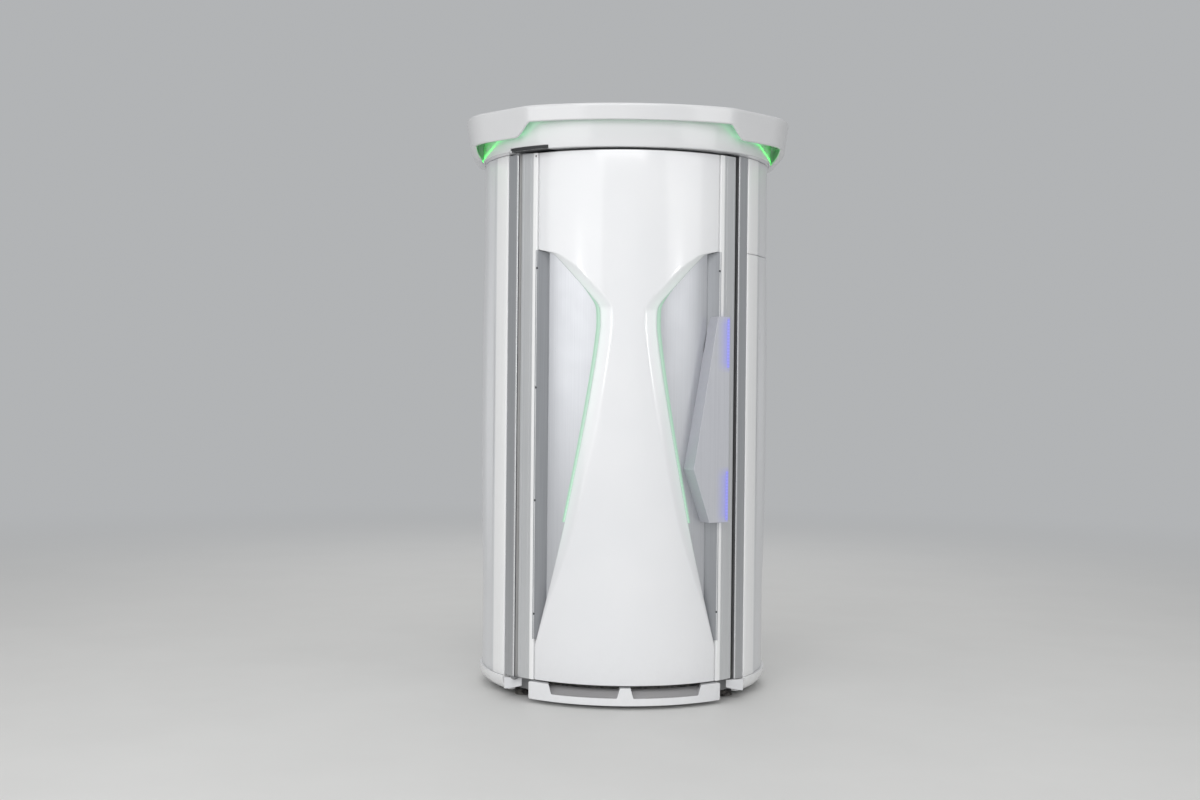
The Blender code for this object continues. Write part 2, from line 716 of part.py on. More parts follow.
def wing_swell(z):
    """Swell of the side wing: nothing above its top, most at its middle, drawn in towards the floor."""
    reach = WING_TOP - WING_MIDDLE if z > WING_MIDDLE else WING_MIDDLE - WING_BOTTOM
    swell = 1.0 - ((z - WING_MIDDLE) / reach) ** 2
    return max(swell, 0.0 if z > WING_MIDDLE else -WING_SLIM)


def shell_ring(z):
    """Section of a side shell: flat front strip, scooped groove, then the swelling wing."""
    strip_end = SHELL_START + FRONT_STRIP_ANGLE
    groove_end = strip_end + GROOVE_ANGLE
    wing_start = groove_end + GROOVE_ANGLE
    swell = wing_swell(z)
    scoop = GROOVE_DEPTH * max(0.0, swell)
    outer = [
        (SHELL_RADIUS, SHELL_START),
        (SHELL_RADIUS, (SHELL_START + strip_end) / 2),
        (SHELL_RADIUS, strip_end),
        (SHELL_RADIUS - scoop, (strip_end + groove_end) / 2),
        (SHELL_RADIUS - scoop / 2, groove_end),
    ]
    for angle in spread(wing_start, SHELL_END, SHELL_STEP):
        fade = min(1.0, (SHELL_END - angle) / WING_FADE_ANGLE)
        outer.append((SHELL_RADIUS + WING_BULGE * swell * fade, angle))
    inner = [(SHELL_INNER, angle) for _, angle in reversed(outer)]
    return outer + inner


def make_shell(name, sign, low, high):
    heights = [low] + [z for z in even(low, high, SHELL_ROWS)[1:-1] if z < WING_TOP] + [high]
    rings = []
    for z in heights:
        rings.append([polar(radius, sign * angle, z) for radius, angle in shell_ring(z)])
    return loft(name, rings, "gloss")


def make_walls():
    pieces = [
        make_shell("left_side_shell", -1.0, WALL_BOTTOM, WALL_TOP),
        make_shell("right_side_shell_lower", 1.0, WALL_BOTTOM, SHELL_SEAM_Z - FIT / 2),
        make_shell("right_side_shell_upper", 1.0, SHELL_SEAM_Z + FIT / 2, WALL_TOP),
    ]
    first = POST_END + SEAM_ANGLE
    last = COLUMN_START - SEAM_ANGLE
    back = PANEL_BACK
    for side, sign in sides():
        start, end = sign * first, sign * last
        pieces.append(sector(f"{side}_reflector", back, back + PANEL_WALL, WALL_BOTTOM, WALL_TOP,
                             start, end, "mirror", WALL_STEP))
        middle = (start + end) / 2
        seam = sign * SEAM_ANGLE / 2
        for place, near, far in (("front", start, middle - seam), ("rear", middle + seam, end)):
            pieces.append(sector(f"{side}_shield_{place}", SHIELD_RADIUS, SHIELD_BACK, WALL_BOTTOM, WALL_TOP,
                                 near, far, "clear", WALL_STEP))
        pieces.append(lamp_bank(f"{side}_lamp_bank", start, end, WALL_STEP))
    return pieces


def make_rear_cover():
    """The service cover at the back, with two groups of air slots."""
    start = 180.0 - REAR_COVER_HALF_ANGLE
    end = 180.0 + REAR_COVER_HALF_ANGLE
    cover = sector("rear_cover", SHELL_INNER, SHELL_RADIUS, WALL_BOTTOM, WALL_TOP, start, end,
                   "gloss", COVER_STEP)
    slots = []
    for row in LOUVRE_ROWS:
        for i in range(LOUVRES):
            low = row + LOUVRE_PITCH * i
            slots.append(sector("louvre_slot", SHELL_INNER - SHELL_WALL, SHELL_RADIUS + SHELL_WALL,
                                low, low + LOUVRE_HEIGHT,
                                180.0 - LOUVRE_HALF_ANGLE, 180.0 + LOUVRE_HALF_ANGLE, "gloss", COVER_STEP))
    cut(cover, merge_meshes("louvre_slots", slots))
    front = SHELL_RADIUS + FIT
    gland = rod("mains_gland", GLAND_RADIUS, 0.0, GLAND_Z, front, front + GLAND_LENGTH, "dark")
    bore_back = front + GLAND_LENGTH + GLAND_BORE
    bore_front = front + GLAND_LENGTH / 2
    cut(gland, rod("gland_bore", GLAND_BORE, 0.0, GLAND_Z, bore_front, bore_back, "dark"))
    return [cover, gland]


def make_column():
    """The rear column between the two lamp walls: a channel open to the service cover."""
    start, end = COLUMN_START, 360.0 - COLUMN_START
    outer = SHELL_INNER - FIT
    inset = span_angle(PROFILE_WALL, SHIELD_RADIUS)
    outline = arc(SHIELD_RADIUS, start, end)
    outline += [polar(outer, end, 0.0)[:2], polar(outer, end - inset, 0.0)[:2]]
    outline += arc(SHIELD_RADIUS + PROFILE_WALL, end - inset, start + inset)
    outline += [polar(outer, start + inset, 0.0)[:2], polar(outer, start, 0.0)[:2]]
    return prism("rear_column", outline, WALL_BOTTOM, WALL_TOP, "alloy")


def make_controls():
    """The control box on the rear column, with two buttons that slide in its bores."""
    back = math.sqrt(SHIELD_RADIUS ** 2 - PANEL_HALF_WIDTH ** 2) - FIT
    front = back - PANEL_DEPTH
    panel = box("control_panel", (-PANEL_HALF_WIDTH, PANEL_HALF_WIDTH), (front, back),
                (PANEL_BOTTOM, PANEL_TOP), "panel")
    z = PANEL_BOTTOM + BUTTON_DROP
    for name, sign in (("start", -1.0), ("stop", 1.0)):
        x = sign * BUTTON_SPACING / 2
        face = front - BUTTON_PROUD
        button = rod(f"{name}_button", BUTTON_RADIUS, x, z, face, face + BUTTON_LENGTH, name)
        bore_radius = BUTTON_RADIUS + FIT
        cut(panel, rod(f"{name}_bore", bore_radius, x, z, front - PANEL_DEPTH, back + PANEL_DEPTH, "panel"))
        hang(pivot(f"{name}_button_axis", (x, front, z)), [button])


def make_feet():
    top = BASE_TOP - BASE_PLATE - FIT
    pad_top = FOOT_HEIGHT - FOOT_STEM_RADIUS
    for place, angle in FOOT_ANGLES.items():
        centre = polar(FOOT_CIRCLE, angle, 0.0)[:2]
        rings = []
        for radius, z in (
            (FOOT_PAD_RADIUS, 0.0),
            (FOOT_PAD_RADIUS, pad_top),
            (FOOT_STEM_RADIUS, FOOT_HEIGHT),
            (FOOT_STEM_RADIUS, top),
        ):
            rings.append([(x, y, z) for x, y in circle(radius, centre, 20)])
        loft(f"foot_{place}", rings, "rubber")


def make_base():
    low = FOOT_HEIGHT + BASE_PLATE
    pan = drum("base_pan", BASE_RADIUS, low, BASE_TOP, "steel", sides=DISC_SIDES)
    hollow_top = BASE_TOP - BASE_PLATE
    rim = BASE_RADIUS - BASE_PLATE
    cut(pan, drum("pan_hollow", rim, low - BASE_PLATE, hollow_top, "steel", sides=DISC_SIDES))
    inner = BASE_RADIUS + FIT
    outer = SHELL_RADIUS + SKIRT_PROUD
    profile = [(inner, FOOT_HEIGHT), (inner, SKIRT_TOP)]
    for turn in even(0.0, math.pi / 2, SKIRT_STEPS):
        drop = (SKIRT_TOP - FOOT_HEIGHT) * math.sin(turn)
        profile.append((outer - SKIRT_INSET * (1.0 - math.cos(turn)), SKIRT_TOP - drop))
    for side, sign in sides():
        end = 180.0 - SEAM_ANGLE / 2
        sweep(f"{side}_base_skirt", profile, sign * POST_END, sign * end, "gloss", SHELL_STEP)
    make_feet()
    half = PLINTH_HALF_ANGLE
    filter_low, filter_high = SCOOP_FLOOR - FILTER_WALL, PLINTH_TOP - FILTER_WALL
    sector("intake_filter", inner, inner + FILTER_WALL, filter_low, filter_high, -half, half, "dark")
    floor_radius = SHIELD_RADIUS - FLOOR_GAP
    drum("standing_floor", floor_radius, WALL_BOTTOM, WALL_BOTTOM + FLOOR_WALL, "rubber", sides=DISC_SIDES)


def make_plinth():
    """The curved plinth under the door, with an air scoop on each side of a tapered rib."""
    inner = BASE_RADIUS + FILTER_WALL + 2 * FIT
    outer = BODY_RADIUS + PLINTH_PROUD
    half = PLINTH_HALF_ANGLE
    low = FOOT_HEIGHT - PLINTH_LOWER
    plinth = sector("front_plinth", inner, outer, low, PLINTH_TOP, -half, half, "gloss")
    for side, sign in sides():
        corners = [
            (SCOOP_INNER + SCOOP_SLANT, SCOOP_FLOOR),
            (SCOOP_OUTER - SCOOP_SLANT, SCOOP_FLOOR),
            (SCOOP_OUTER + SCOOP_SLANT, PLINTH_TOP + SCOOP_FLOOR),
            (SCOOP_INNER - SCOOP_SLANT, PLINTH_TOP + SCOOP_FLOOR),
        ]
        rings = [[(sign * x, y, z) for x, z in corners] for y in (-outer - SCOOP_FLOOR, 0.0)]
        cut(plinth, loft(f"{side}_scoop", rings, "dark"))


def cap_quarter():
    """Front right quarter of the canopy's top edge: (x, y, lower edge of the band, cup share)."""
    points = []
    for x in even(0.0, CAP_ARC_HALF, CAP_ARC_STEPS):
        sag = CAP_ARC_RADIUS - math.sqrt(CAP_ARC_RADIUS ** 2 - x ** 2)
        points.append((x, sag - CAP_FRONT, BAND_FRONT_Z, 0.0))
    arc_end = points[-1][1]
    points.append((CAP_STEP_HALF, arc_end + CAP_STEP_HALF - CAP_ARC_HALF, BAND_CHAMFER_Z, 0.0))
    corner = arc_end + CAP_CHAMFER_HALF - CAP_ARC_HALF
    control = corner + CAP_SIDE - CAP_CHAMFER_HALF
    for t in even(0.0, 1.0, CAP_CORNER_STEPS):
        x = CAP_SIDE - (CAP_SIDE - CAP_CHAMFER_HALF) * (1.0 - t) ** 2
        y = corner * (1.0 - t) ** 2 + 2.0 * control * t * (1.0 - t) - CAP_SIDE_START * t ** 2
        cup = max(0.0, (t - CUP_START) / (1.0 - CUP_START))
        points.append((x, y, BAND_CHAMFER_Z + (BAND_SIDE_Z - BAND_CHAMFER_Z) * cup, cup))
    points.append((CAP_SIDE, 0.0, BAND_SIDE_Z, 1.0))
    return points


def cap_stations():
    """The whole canopy edge as (x, y, outward x, outward y, lower edge, cup share), front and back alike."""
    quarter = cap_quarter()
    right = quarter + [(x, -y, low, cup) for x, y, low, cup in reversed(quarter[:-1])]
    loop = right + [(-x, y, low, cup) for x, y, low, cup in reversed(right[1:-1])]
    stations = []
    for i, (x, y, low, cup) in enumerate(loop):
        before, after = loop[i - 1], loop[(i + 1) % len(loop)]
        run = (after[0] - before[0], after[1] - before[1])
        length = math.hypot(*run)
        stations.append((x, y, run[1] / length, -run[0] / length, low, cup))
    return stations


def at_inset(station, inset, z):
    x, y, out_x, out_y = station[:4]
    return (x - out_x * inset, y - out_y * inset, z)


def draft(z):
    return CAP_DRAFT * (BOOTH_HEIGHT - z)


def make_band():
    """The drafted canopy band, stepped at the front corners and cupped in under the sides."""
    side_foot = CAP_SIDE - draft(BAND_SIDE_Z) - CAP_WALL
    lip = side_foot - FASCIA_HALF_WIDTH - FIT
    rings = []
    for station in cap_stations():
        low, cup = station[4:]
        foot = draft(low)
        curl = CAP_EDGE / 2 + CUP_CURL * cup
        section = [
            (CAP_EDGE, BOOTH_HEIGHT),
            (CAP_EDGE / 4, BOOTH_HEIGHT - CAP_EDGE / 4),
            (draft(BOOTH_HEIGHT - CAP_EDGE), BOOTH_HEIGHT - CAP_EDGE),
            (draft(low + curl), low + curl),
            (foot + curl * CURL_SHARE, low + curl * CURL_SHARE),
            (foot + curl, low),
            (foot + CAP_WALL + lip * cup, low),
            (foot + CAP_WALL + lip * cup, low + LIP_WALL),
            (draft(low + 2 * LIP_WALL) + CAP_WALL, low + 2 * LIP_WALL),
            (CAP_WALL + CAP_EDGE / 4, BOOTH_HEIGHT),
        ]
        rings.append([at_inset(station, inset, z) for inset, z in section])
    return loft("canopy_band", rings, "gloss", closed=True)


def make_canopy_light():
    """The light line on the inner face of the band, just above its lower edge."""
    rings = []
    for station in cap_stations():
        low = station[4] + 2 * LIP_WALL + LIGHT_RISE
        near = draft(low) + CAP_WALL + FIT
        far = near + LIGHT_WIDTH
        section = [(near, low), (far, low), (far, low + LIGHT_HEIGHT), (near, low + LIGHT_HEIGHT)]
        rings.append([at_inset(station, inset, z) for inset, z in section])
    return loft("canopy_light", rings, "green", closed=True)


def fascia_outline(inset):
    """Rounded square plan of the fascia, a superellipse a little squarer than a circle."""
    points = []
    power = 2.0 / FASCIA_SQUARENESS
    for i in range(FASCIA_STATIONS):
        turn = 2.0 * math.pi * (i + 0.5) / FASCIA_STATIONS
        across, along = math.cos(turn), math.sin(turn)
        x = math.copysign(abs(across) ** power, across) * (FASCIA_HALF_WIDTH - inset)
        y = math.copysign(abs(along) ** power, along) * (FASCIA_HALF_DEPTH - inset)
        points.append((x, y))
    return points


def make_canopy():
    make_band()
    make_canopy_light()
    top = LID_UNDER - FIT
    rings = []
    for out, inside in zip(fascia_outline(0.0), fascia_outline(FASCIA_WALL)):
        rings.append([(*out, FASCIA_BOTTOM), (*out, top), (*inside, top), (*inside, FASCIA_BOTTOM)])
    fascia = loft("canopy_fascia", rings, "gloss", closed=True)
    inner = FASCIA_HALF_WIDTH - SLOT_REACH
    outer = FASCIA_HALF_DEPTH + SLOT_REACH
    high = FASCIA_BOTTOM + SLOT_HEIGHT
    cut(fascia, sector("hinge_slot", inner, outer, FASCIA_BOTTOM - SLOT_HEIGHT, high,
                       HINGE_ANGLE - SLOT_BEHIND, HINGE_ANGLE + SLOT_AHEAD, "gloss"))
    hole = FAN_RADIUS + FAN_TIP_GAP
    inset = draft(LID_UNDER) + CAP_WALL + CAP_EDGE / 4 + FIT
    outline = [at_inset(station, inset, 0.0)[:2] for station in cap_stations()]
    lid = prism("canopy_lid", outline, LID_UNDER, LID_TOP, "gloss")
    cut(lid, drum("lid_hole", hole, LID_UNDER - LID_WALL, LID_TOP + LID_WALL, "gloss"))
    high = CEILING_UNDER + CEILING_WALL
    ceiling = prism("ceiling_panel", fascia_outline(FASCIA_WALL + FIT), CEILING_UNDER, high, "gloss")
    cut(ceiling, drum("ceiling_hole", hole, CEILING_UNDER - CEILING_WALL, high + CEILING_WALL, "gloss"))
    make_grille("roof_grille", hole, LID_TOP + FIT)
    make_grille("ceiling_grille", hole, CEILING_UNDER - FIT - GRILLE_WALL)


def make_grille(name, hole, low):
    """A flat rim over a fan opening, with straight bars across it."""
    high = low + GRILLE_WALL
    grille = ring(name, hole - GRILLE_RIM / 2, hole + GRILLE_RIM, low, high, "alloy")
    pitch = 2 * hole / (GRILLE_BARS + 1)
    bars = []
    for i in range(GRILLE_BARS):
        y = pitch * (i + 1) - hole
        half = math.sqrt(hole ** 2 - y ** 2)
        across = (y - GRILLE_BAR / 2, y + GRILLE_BAR / 2)
        bars.append(box(f"{name}_bar", (-half, half), across, (low, high), "alloy"))
    join(grille, merge_meshes(f"{name}_bars", bars))
    return grille


def blade_ring(radius, angle, chord, pitch, z):
    """Section of a fan blade: a thin slat tilted by its pitch."""
    turn = math.radians(pitch)
    points = []
    for along, thick in ((-1, -1), (1, -1), (1, 1), (-1, 1)):
        u = along * chord / 2
        v = thick * FAN_BLADE_WALL / 2
        side = u * math.cos(turn) - v * math.sin(turn)
        rise = u * math.sin(turn) + v * math.cos(turn)
        lean = math.degrees(math.atan2(side, radius))
        points.append(polar(math.hypot(radius, side), angle + lean, z + rise))
    return points


def make_fan():
    """The exhaust fan: a shroud whose spider carries the motor and shaft, and the rotor on it."""
    low = CEILING_UNDER + CEILING_WALL + FIT
    high = LID_UNDER - FIT
    hole = FAN_RADIUS + FAN_TIP_GAP
    housing = ring("fan_housing", hole, hole + FAN_SHROUD_WALL, low, high, "dark")
    spoke = (low, low + FAN_SPOKE)
    reach = (-hole - FAN_SHROUD_WALL / 2, hole + FAN_SHROUD_WALL / 2)
    narrow = (-FAN_SPOKE / 2, FAN_SPOKE / 2)
    motor_top = low + FAN_MOTOR_HEIGHT
    hub_low = motor_top + FAN_HUB_GAP
    hub_top = hub_low + FAN_HUB_HEIGHT
    join(
        housing,
        box("fan_spoke_x", reach, narrow, spoke, "dark"),
        box("fan_spoke_y", narrow, reach, spoke, "dark"),
        drum("fan_motor", FAN_HUB_RADIUS, low, motor_top, "dark"),
        drum("fan_shaft", FAN_SHAFT_RADIUS, motor_top - FAN_SPOKE, hub_top, "dark", sides=24),
    )
    rotor = ring("fan_rotor", FAN_SHAFT_RADIUS + RUNNING_GAP, FAN_HUB_RADIUS, hub_low, hub_top, "dark", 24)
    middle = (hub_low + hub_top) / 2
    blades = []
    for i in range(FAN_BLADES):
        angle = 360.0 * i / FAN_BLADES
        root = FAN_HUB_RADIUS - FAN_BLADE_ROOT
        rings = [
            blade_ring(root, angle, FAN_ROOT_CHORD, FAN_ROOT_PITCH, middle),
            blade_ring((root + FAN_RADIUS) / 2, angle, FAN_ROOT_CHORD, FAN_TIP_PITCH, middle),
            blade_ring(FAN_RADIUS - FAN_TIP_TRIM, angle, FAN_TIP_CHORD, FAN_TIP_PITCH, middle),
        ]
        blades.append(loft("fan_blade", rings, "dark"))
    join(rotor, merge_meshes("fan_blades", blades))
    hang(pivot("fan_axis", (0.0, 0.0, middle)), [rotor])


def main():
    clear_scene()
    door = [make_skin()] + make_handle() + make_door_inside()
    for side, sign in sides():
        door.append(make_insert(side, sign))
        door.append(make_led(side, sign))
        door += make_door_edge(side, sign)
    leaf = HINGE_PLATE + RUNNING_GAP
    top_arm, _ = make_hinge("top", DOOR_TOP + RUNNING_GAP, DOOR_TOP + RUNNING_GAP + leaf)
    bottom_arm, _ = make_hinge("bottom", DOOR_BOTTOM - leaf, DOOR_BOTTOM - 2 * leaf)
    door += [top_arm, bottom_arm]
    hang(pivot("door_pivot", polar(HINGE_RADIUS, HINGE_ANGLE, DOOR_BOTTOM)), door)
    make_posts()
    make_walls()
    make_rear_cover()
    make_column()
    make_controls()
    make_base()
    make_plinth()
    make_canopy()
    make_fan()


main()
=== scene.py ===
import json
import math

import bmesh
import bpy
from mathutils import Matrix, Vector


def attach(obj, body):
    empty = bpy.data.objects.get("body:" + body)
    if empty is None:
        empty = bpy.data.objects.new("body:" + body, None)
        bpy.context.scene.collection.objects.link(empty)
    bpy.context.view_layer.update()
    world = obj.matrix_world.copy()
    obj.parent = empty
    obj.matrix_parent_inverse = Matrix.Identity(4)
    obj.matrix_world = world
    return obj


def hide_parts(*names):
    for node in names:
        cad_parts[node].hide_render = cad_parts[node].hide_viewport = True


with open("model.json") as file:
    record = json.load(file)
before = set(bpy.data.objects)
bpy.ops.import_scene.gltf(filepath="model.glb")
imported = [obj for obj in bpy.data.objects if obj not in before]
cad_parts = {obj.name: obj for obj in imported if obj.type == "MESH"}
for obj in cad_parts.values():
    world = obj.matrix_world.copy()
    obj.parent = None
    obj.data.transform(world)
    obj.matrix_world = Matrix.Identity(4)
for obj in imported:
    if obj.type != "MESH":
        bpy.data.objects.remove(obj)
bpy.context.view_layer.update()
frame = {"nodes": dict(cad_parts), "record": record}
bodyOf = {node: body for body, nodes in frame["record"]["behaviour"]["bodies"].items() for node in nodes}


# nodes: a socket that is handed over is linked, any other value is set on the input or setting of that name
def addNode(tree, kind, *wires, **settings):
    node = tree.nodes.new(kind)
    for key, value in (*settings.items(), *enumerate(wires)):
        if isinstance(key, str) and key not in node.inputs:
            setattr(node, key, value)
        elif isinstance(value, bpy.types.NodeSocket):
            tree.links.new(value, node.inputs[key])
        else:
            node.inputs[key].default_value = value
    return node


def maths(tree, operation, *values):
    return addNode(tree, "ShaderNodeMath", *values, operation=operation).outputs[0]


def objectPlace(tree):
    return addNode(tree, "ShaderNodeTexCoord").outputs["Object"]


def splitPlace(tree):
    return addNode(tree, "ShaderNodeSeparateXYZ", Vector=objectPlace(tree)).outputs


def toRange(tree, source, low, high, fromLow=0.3, fromHigh=0.7):
    ends = {"From Min": fromLow, "From Max": fromHigh, "To Min": low, "To Max": high}
    return addNode(tree, "ShaderNodeMapRange", Value=source, **ends).outputs["Result"]


# camera as the photographer stood, a little left of the booth and turned onto it
shot = {
    "place": (-0.166, -6.323, 1.25),
    "pitch": -0.65,      # degrees, down
    "heading": 0.586,    # degrees to the right of +Y
    "roll": 0.57,
    "lens": 45.1,
    "sensor": 36.0,
    "farEnd": 200.0,
}


def makeCamera():
    data = bpy.data.cameras.new("boothCamera")
    data.lens = shot["lens"]
    data.sensor_width = shot["sensor"]
    data.clip_end = shot["farEnd"]
    camera = bpy.data.objects.new("boothCamera", data)
    bpy.context.collection.objects.link(camera)
    heading, pitch, roll = (math.radians(shot[key]) for key in ("heading", "pitch", "roll"))
    look = Vector((math.sin(heading) * math.cos(pitch), math.cos(heading) * math.cos(pitch), math.sin(pitch)))
    level = look.cross(Vector((0.0, 0.0, 1.0))).normalized()
    upright = level.cross(look)
    across = level * math.cos(roll) + upright * math.sin(roll)
    above = upright * math.cos(roll) - level * math.sin(roll)
    turn = Matrix((across, above, -look)).transposed().to_4x4()
    camera.matrix_world = Matrix.Translation(shot["place"]) @ turn
    bpy.context.scene.camera = camera


# plain studio: pale floor, big soft boxes, even grey surround
studio = {
    "floor": (0.73, 0.73, 0.72), "floorHalf": 30.0, "floorCells": 8,
    "surround": (0.445, 0.455, 0.465),
    "fill": 0.36,          # strength of the surround as light
    "fades": (1.8, 9.5),   # distance at which the floor starts and ends its run into the surround
    "boxes": {             # place, aim, width, height, watts, seen in gloss
        "key": ((-0.6, -6.4, 5.8), (0.0, -0.2, 1.2), 5.0, 2.6, 134.0, True),
        "front": ((-0.8, -7.4, 1.7), (0.0, -0.2, 1.1), 4.0, 2.4, 94.0, False),
        "left": ((-4.4, -5.0, 2.6), (0.0, -0.2, 1.3), 5.4, 3.8, 88.0, True),
        "right": ((4.7, -4.8, 2.9), (0.0, -0.2, 1.2), 3.4, 3.4, 45.0, True),
        "overhead": ((0.0, -0.4, 5.8), (0.0, 0.0, 1.0), 4.0, 4.0, 42.0, True),
        "rear": ((0.0, 6.0, 4.6), (0.0, 0.2, 1.2), 5.0, 3.0, 110.0, False),
    },
    "ridgeLamps": {        # two narrow lamps that gloss the ridges of the door skin and light nothing else
        "ridgeLeft": ((-3.27, -4.44, 1.80), (-0.10, -0.575, 1.40), 0.35, 0.5, 8.0),
        "ridgeRight": ((3.48, -4.26, 1.80), (0.10, -0.575, 1.40), 0.35, 0.5, 8.0),
    },
}


def seenRays(tree):
    # 1 where the camera looks, straight or by way of gloss or glass
    path = addNode(tree, "ShaderNodeLightPath").outputs
    found = maths(tree, "MAXIMUM", path["Is Camera Ray"], path["Is Glossy Ray"])
    return maths(tree, "MAXIMUM", found, path["Is Transmission Ray"])


def hangLamp(name, place, aim, width, height, watts):
    data = bpy.data.lights.new(name, "AREA")
    data.shape = "RECTANGLE"
    data.size = width
    data.size_y = height
    data.energy = watts
    lamp = bpy.data.objects.new(name, data)
    lamp.location = place
    lamp.rotation_euler = (Vector(aim) - Vector(place)).to_track_quat("-Z", "Y").to_euler()
    bpy.context.collection.objects.link(lamp)
    return lamp


def glossRidges(piece):
    lit = bpy.data.collections.new("ridgeLit")
    lit.objects.link(piece)
    for name, values in studio["ridgeLamps"].items():
        lamp = hangLamp(name, *values)
        lamp.visible_diffuse = False
        lamp.light_linking.receiver_collection = lit


def makeStudio():
    world = bpy.data.worlds.new("studioAir")
    bpy.context.scene.world = world
    world.use_nodes = True
    tree = world.node_tree
    tree.nodes.clear()
    lit = addNode(tree, "ShaderNodeBackground", Color=(1.0, 1.0, 1.0, 1.0), Strength=studio["fill"])
    shown = addNode(tree, "ShaderNodeBackground", Color=(*studio["surround"], 1.0), Strength=1.0)
    choose = addNode(tree, "ShaderNodeMixShader", seenRays(tree), lit.outputs[0], shown.outputs[0])
    addNode(tree, "ShaderNodeOutputWorld", Surface=choose.outputs[0])
    for name, (*values, mirrored) in studio["boxes"].items():
        hangLamp(name, *values).visible_glossy = mirrored
    bpy.context.scene.view_settings.view_transform = "Standard"


def fadedFloor(material):
    # the floor runs out into the surround where it is seen
    tree = material.node_tree
    away = addNode(tree, "ShaderNodeVectorMath", objectPlace(tree), operation="LENGTH")
    start, end = studio["fades"]
    far = addNode(tree, "ShaderNodeMapRange", interpolation_type="SMOOTHSTEP", **{
        "Value": away.outputs["Value"], "From Min": start, "From Max": end})
    share = maths(tree, "MULTIPLY", far.outputs["Result"], seenRays(tree))
    air = addNode(tree, "ShaderNodeEmission", Color=(*studio["surround"], 1.0))
    blend = addNode(tree, "ShaderNodeMixShader", share, tree.nodes["Principled BSDF"].outputs[0], air.outputs[0])
    tree.links.new(blend.outputs[0], tree.nodes["Material Output"].inputs["Surface"])
    return material


def makeFloor(finish):
    mesh = bmesh.new()
    cells = studio["floorCells"]
    bmesh.ops.create_grid(mesh, x_segments=cells, y_segments=cells, size=studio["floorHalf"])
    data = bpy.data.meshes.new("studioFloor")
    mesh.to_mesh(data)
    mesh.free()
    floor = bpy.data.objects.new("studioFloor", data)
    data.materials.append(fadedFloor(finish))
    bpy.context.collection.objects.link(floor)


# shared effects, each one a node group placed in several finishes
def newGroup(name, inputs, outputs):
    group = bpy.data.node_groups.new(name, "ShaderNodeTree")
    for title, value in inputs.items():
        socket = group.interface.new_socket(name=title, in_out="INPUT", socket_type="NodeSocketFloat")
        socket.default_value = value
    for title in outputs:
        group.interface.new_socket(name=title, in_out="OUTPUT", socket_type="NodeSocketFloat")
    return group, group.nodes.new("NodeGroupInput").outputs


def placeNoise(group, scale, detail, rough, stretch=(1.0, 1.0, 1.0)):
    turn = addNode(group, "ShaderNodeMapping", Vector=objectPlace(group), Scale=stretch)
    return addNode(group, "ShaderNodeTexNoise", Vector=turn.outputs["Vector"], Scale=scale, Detail=detail,
                   Roughness=rough).outputs["Fac"]


def mouldedGroup():
    # sprayed and moulded skins: fine orange peel, slow waves, wiped patches in the gloss
    group, given = newGroup(
        "mouldedSkin", {"Peel": 140.0, "Gloss Low": 0.14, "Gloss High": 0.24}, ("Height", "Gloss", "Tone"))
    peel = addNode(group, "ShaderNodeTexNoise", Vector=objectPlace(group), Scale=given["Peel"],
                   Detail=2.0, Roughness=0.5).outputs["Fac"]
    waveShare = 6.0   # slow waves stand this much higher than the peel
    wave = placeNoise(group, 2.6, 1.0, 0.5)
    wipe = placeNoise(group, 5.0, 4.0, 0.6, (1.0, 1.0, 0.35))
    cloud = placeNoise(group, 1.7, 3.0, 0.55)
    addNode(group, "NodeGroupOutput", Height=maths(group, "MULTIPLY_ADD", wave, waveShare, peel),
            Gloss=toRange(group, wipe, given["Gloss Low"], given["Gloss High"]),
            Tone=toRange(group, cloud, 0.0, 1.0))
    return group


def brushedGroup():
    # rolled, drawn and extruded metal: long lines in one direction, with faint handling marks
    group, given = newGroup(
        "drawnLines", {"Across": 260.0, "Along": 1.5, "Gloss Low": 0.26, "Gloss High": 0.40},
        ("Height", "Gloss", "Tone"))
    size = addNode(group, "ShaderNodeCombineXYZ", given["Across"], given["Across"], given["Along"])
    turn = addNode(group, "ShaderNodeMapping", Vector=objectPlace(group), Scale=size.outputs["Vector"])
    lines = addNode(group, "ShaderNodeTexNoise", Vector=turn.outputs["Vector"], Scale=1.0, Detail=3.0,
                    Roughness=0.62).outputs["Fac"]
    touch = placeNoise(group, 9.0, 4.0, 0.6)
    both = maths(group, "MULTIPLY_ADD", lines, 0.5, maths(group, "MULTIPLY", touch, 0.5))
    addNode(group, "NodeGroupOutput", Height=lines, Tone=toRange(group, lines, 0.0, 1.0),
            Gloss=toRange(group, both, given["Gloss Low"], given["Gloss High"]))
    return group


def dustGroup():
    # dust that settles near the floor and in patches
    group, given = newGroup("floorDust", {"Reach": 0.45, "Amount": 0.5}, ("Mask",))
    low = toRange(group, splitPlace(group)["Z"], 1.0, 0.0, 0.0, given["Reach"])
    patch = toRange(group, placeNoise(group, 38.0, 5.0, 0.7), 0.0, 1.0, 0.42, 0.72)
    settled = maths(group, "MULTIPLY", low, patch)
    addNode(group, "NodeGroupOutput", Mask=maths(group, "MULTIPLY", settled, given["Amount"]))
    return group


# a finish: sizes of its effect, gloss range, the two tones that the effect moves between, bump depth in metres
def moulded(peel, gloss, tones, bump, **more):
    given = {"Peel": peel, "Gloss Low": gloss[0], "Gloss High": gloss[1]}
    return {"effect": "moulded", "given": given, "tones": tones, "bump": bump, "fixed": {}, **more}


def drawn(across, along, gloss, tones, bump, **more):
    given = {"Across": across, "Along": along, "Gloss Low": gloss[0], "Gloss High": gloss[1]}
    return {"effect": "drawn", "given": given, "tones": tones, "bump": bump, "fixed": {}, **more}


def coated(weight, rough):
    return {"Coat Weight": weight, "Coat Roughness": rough}


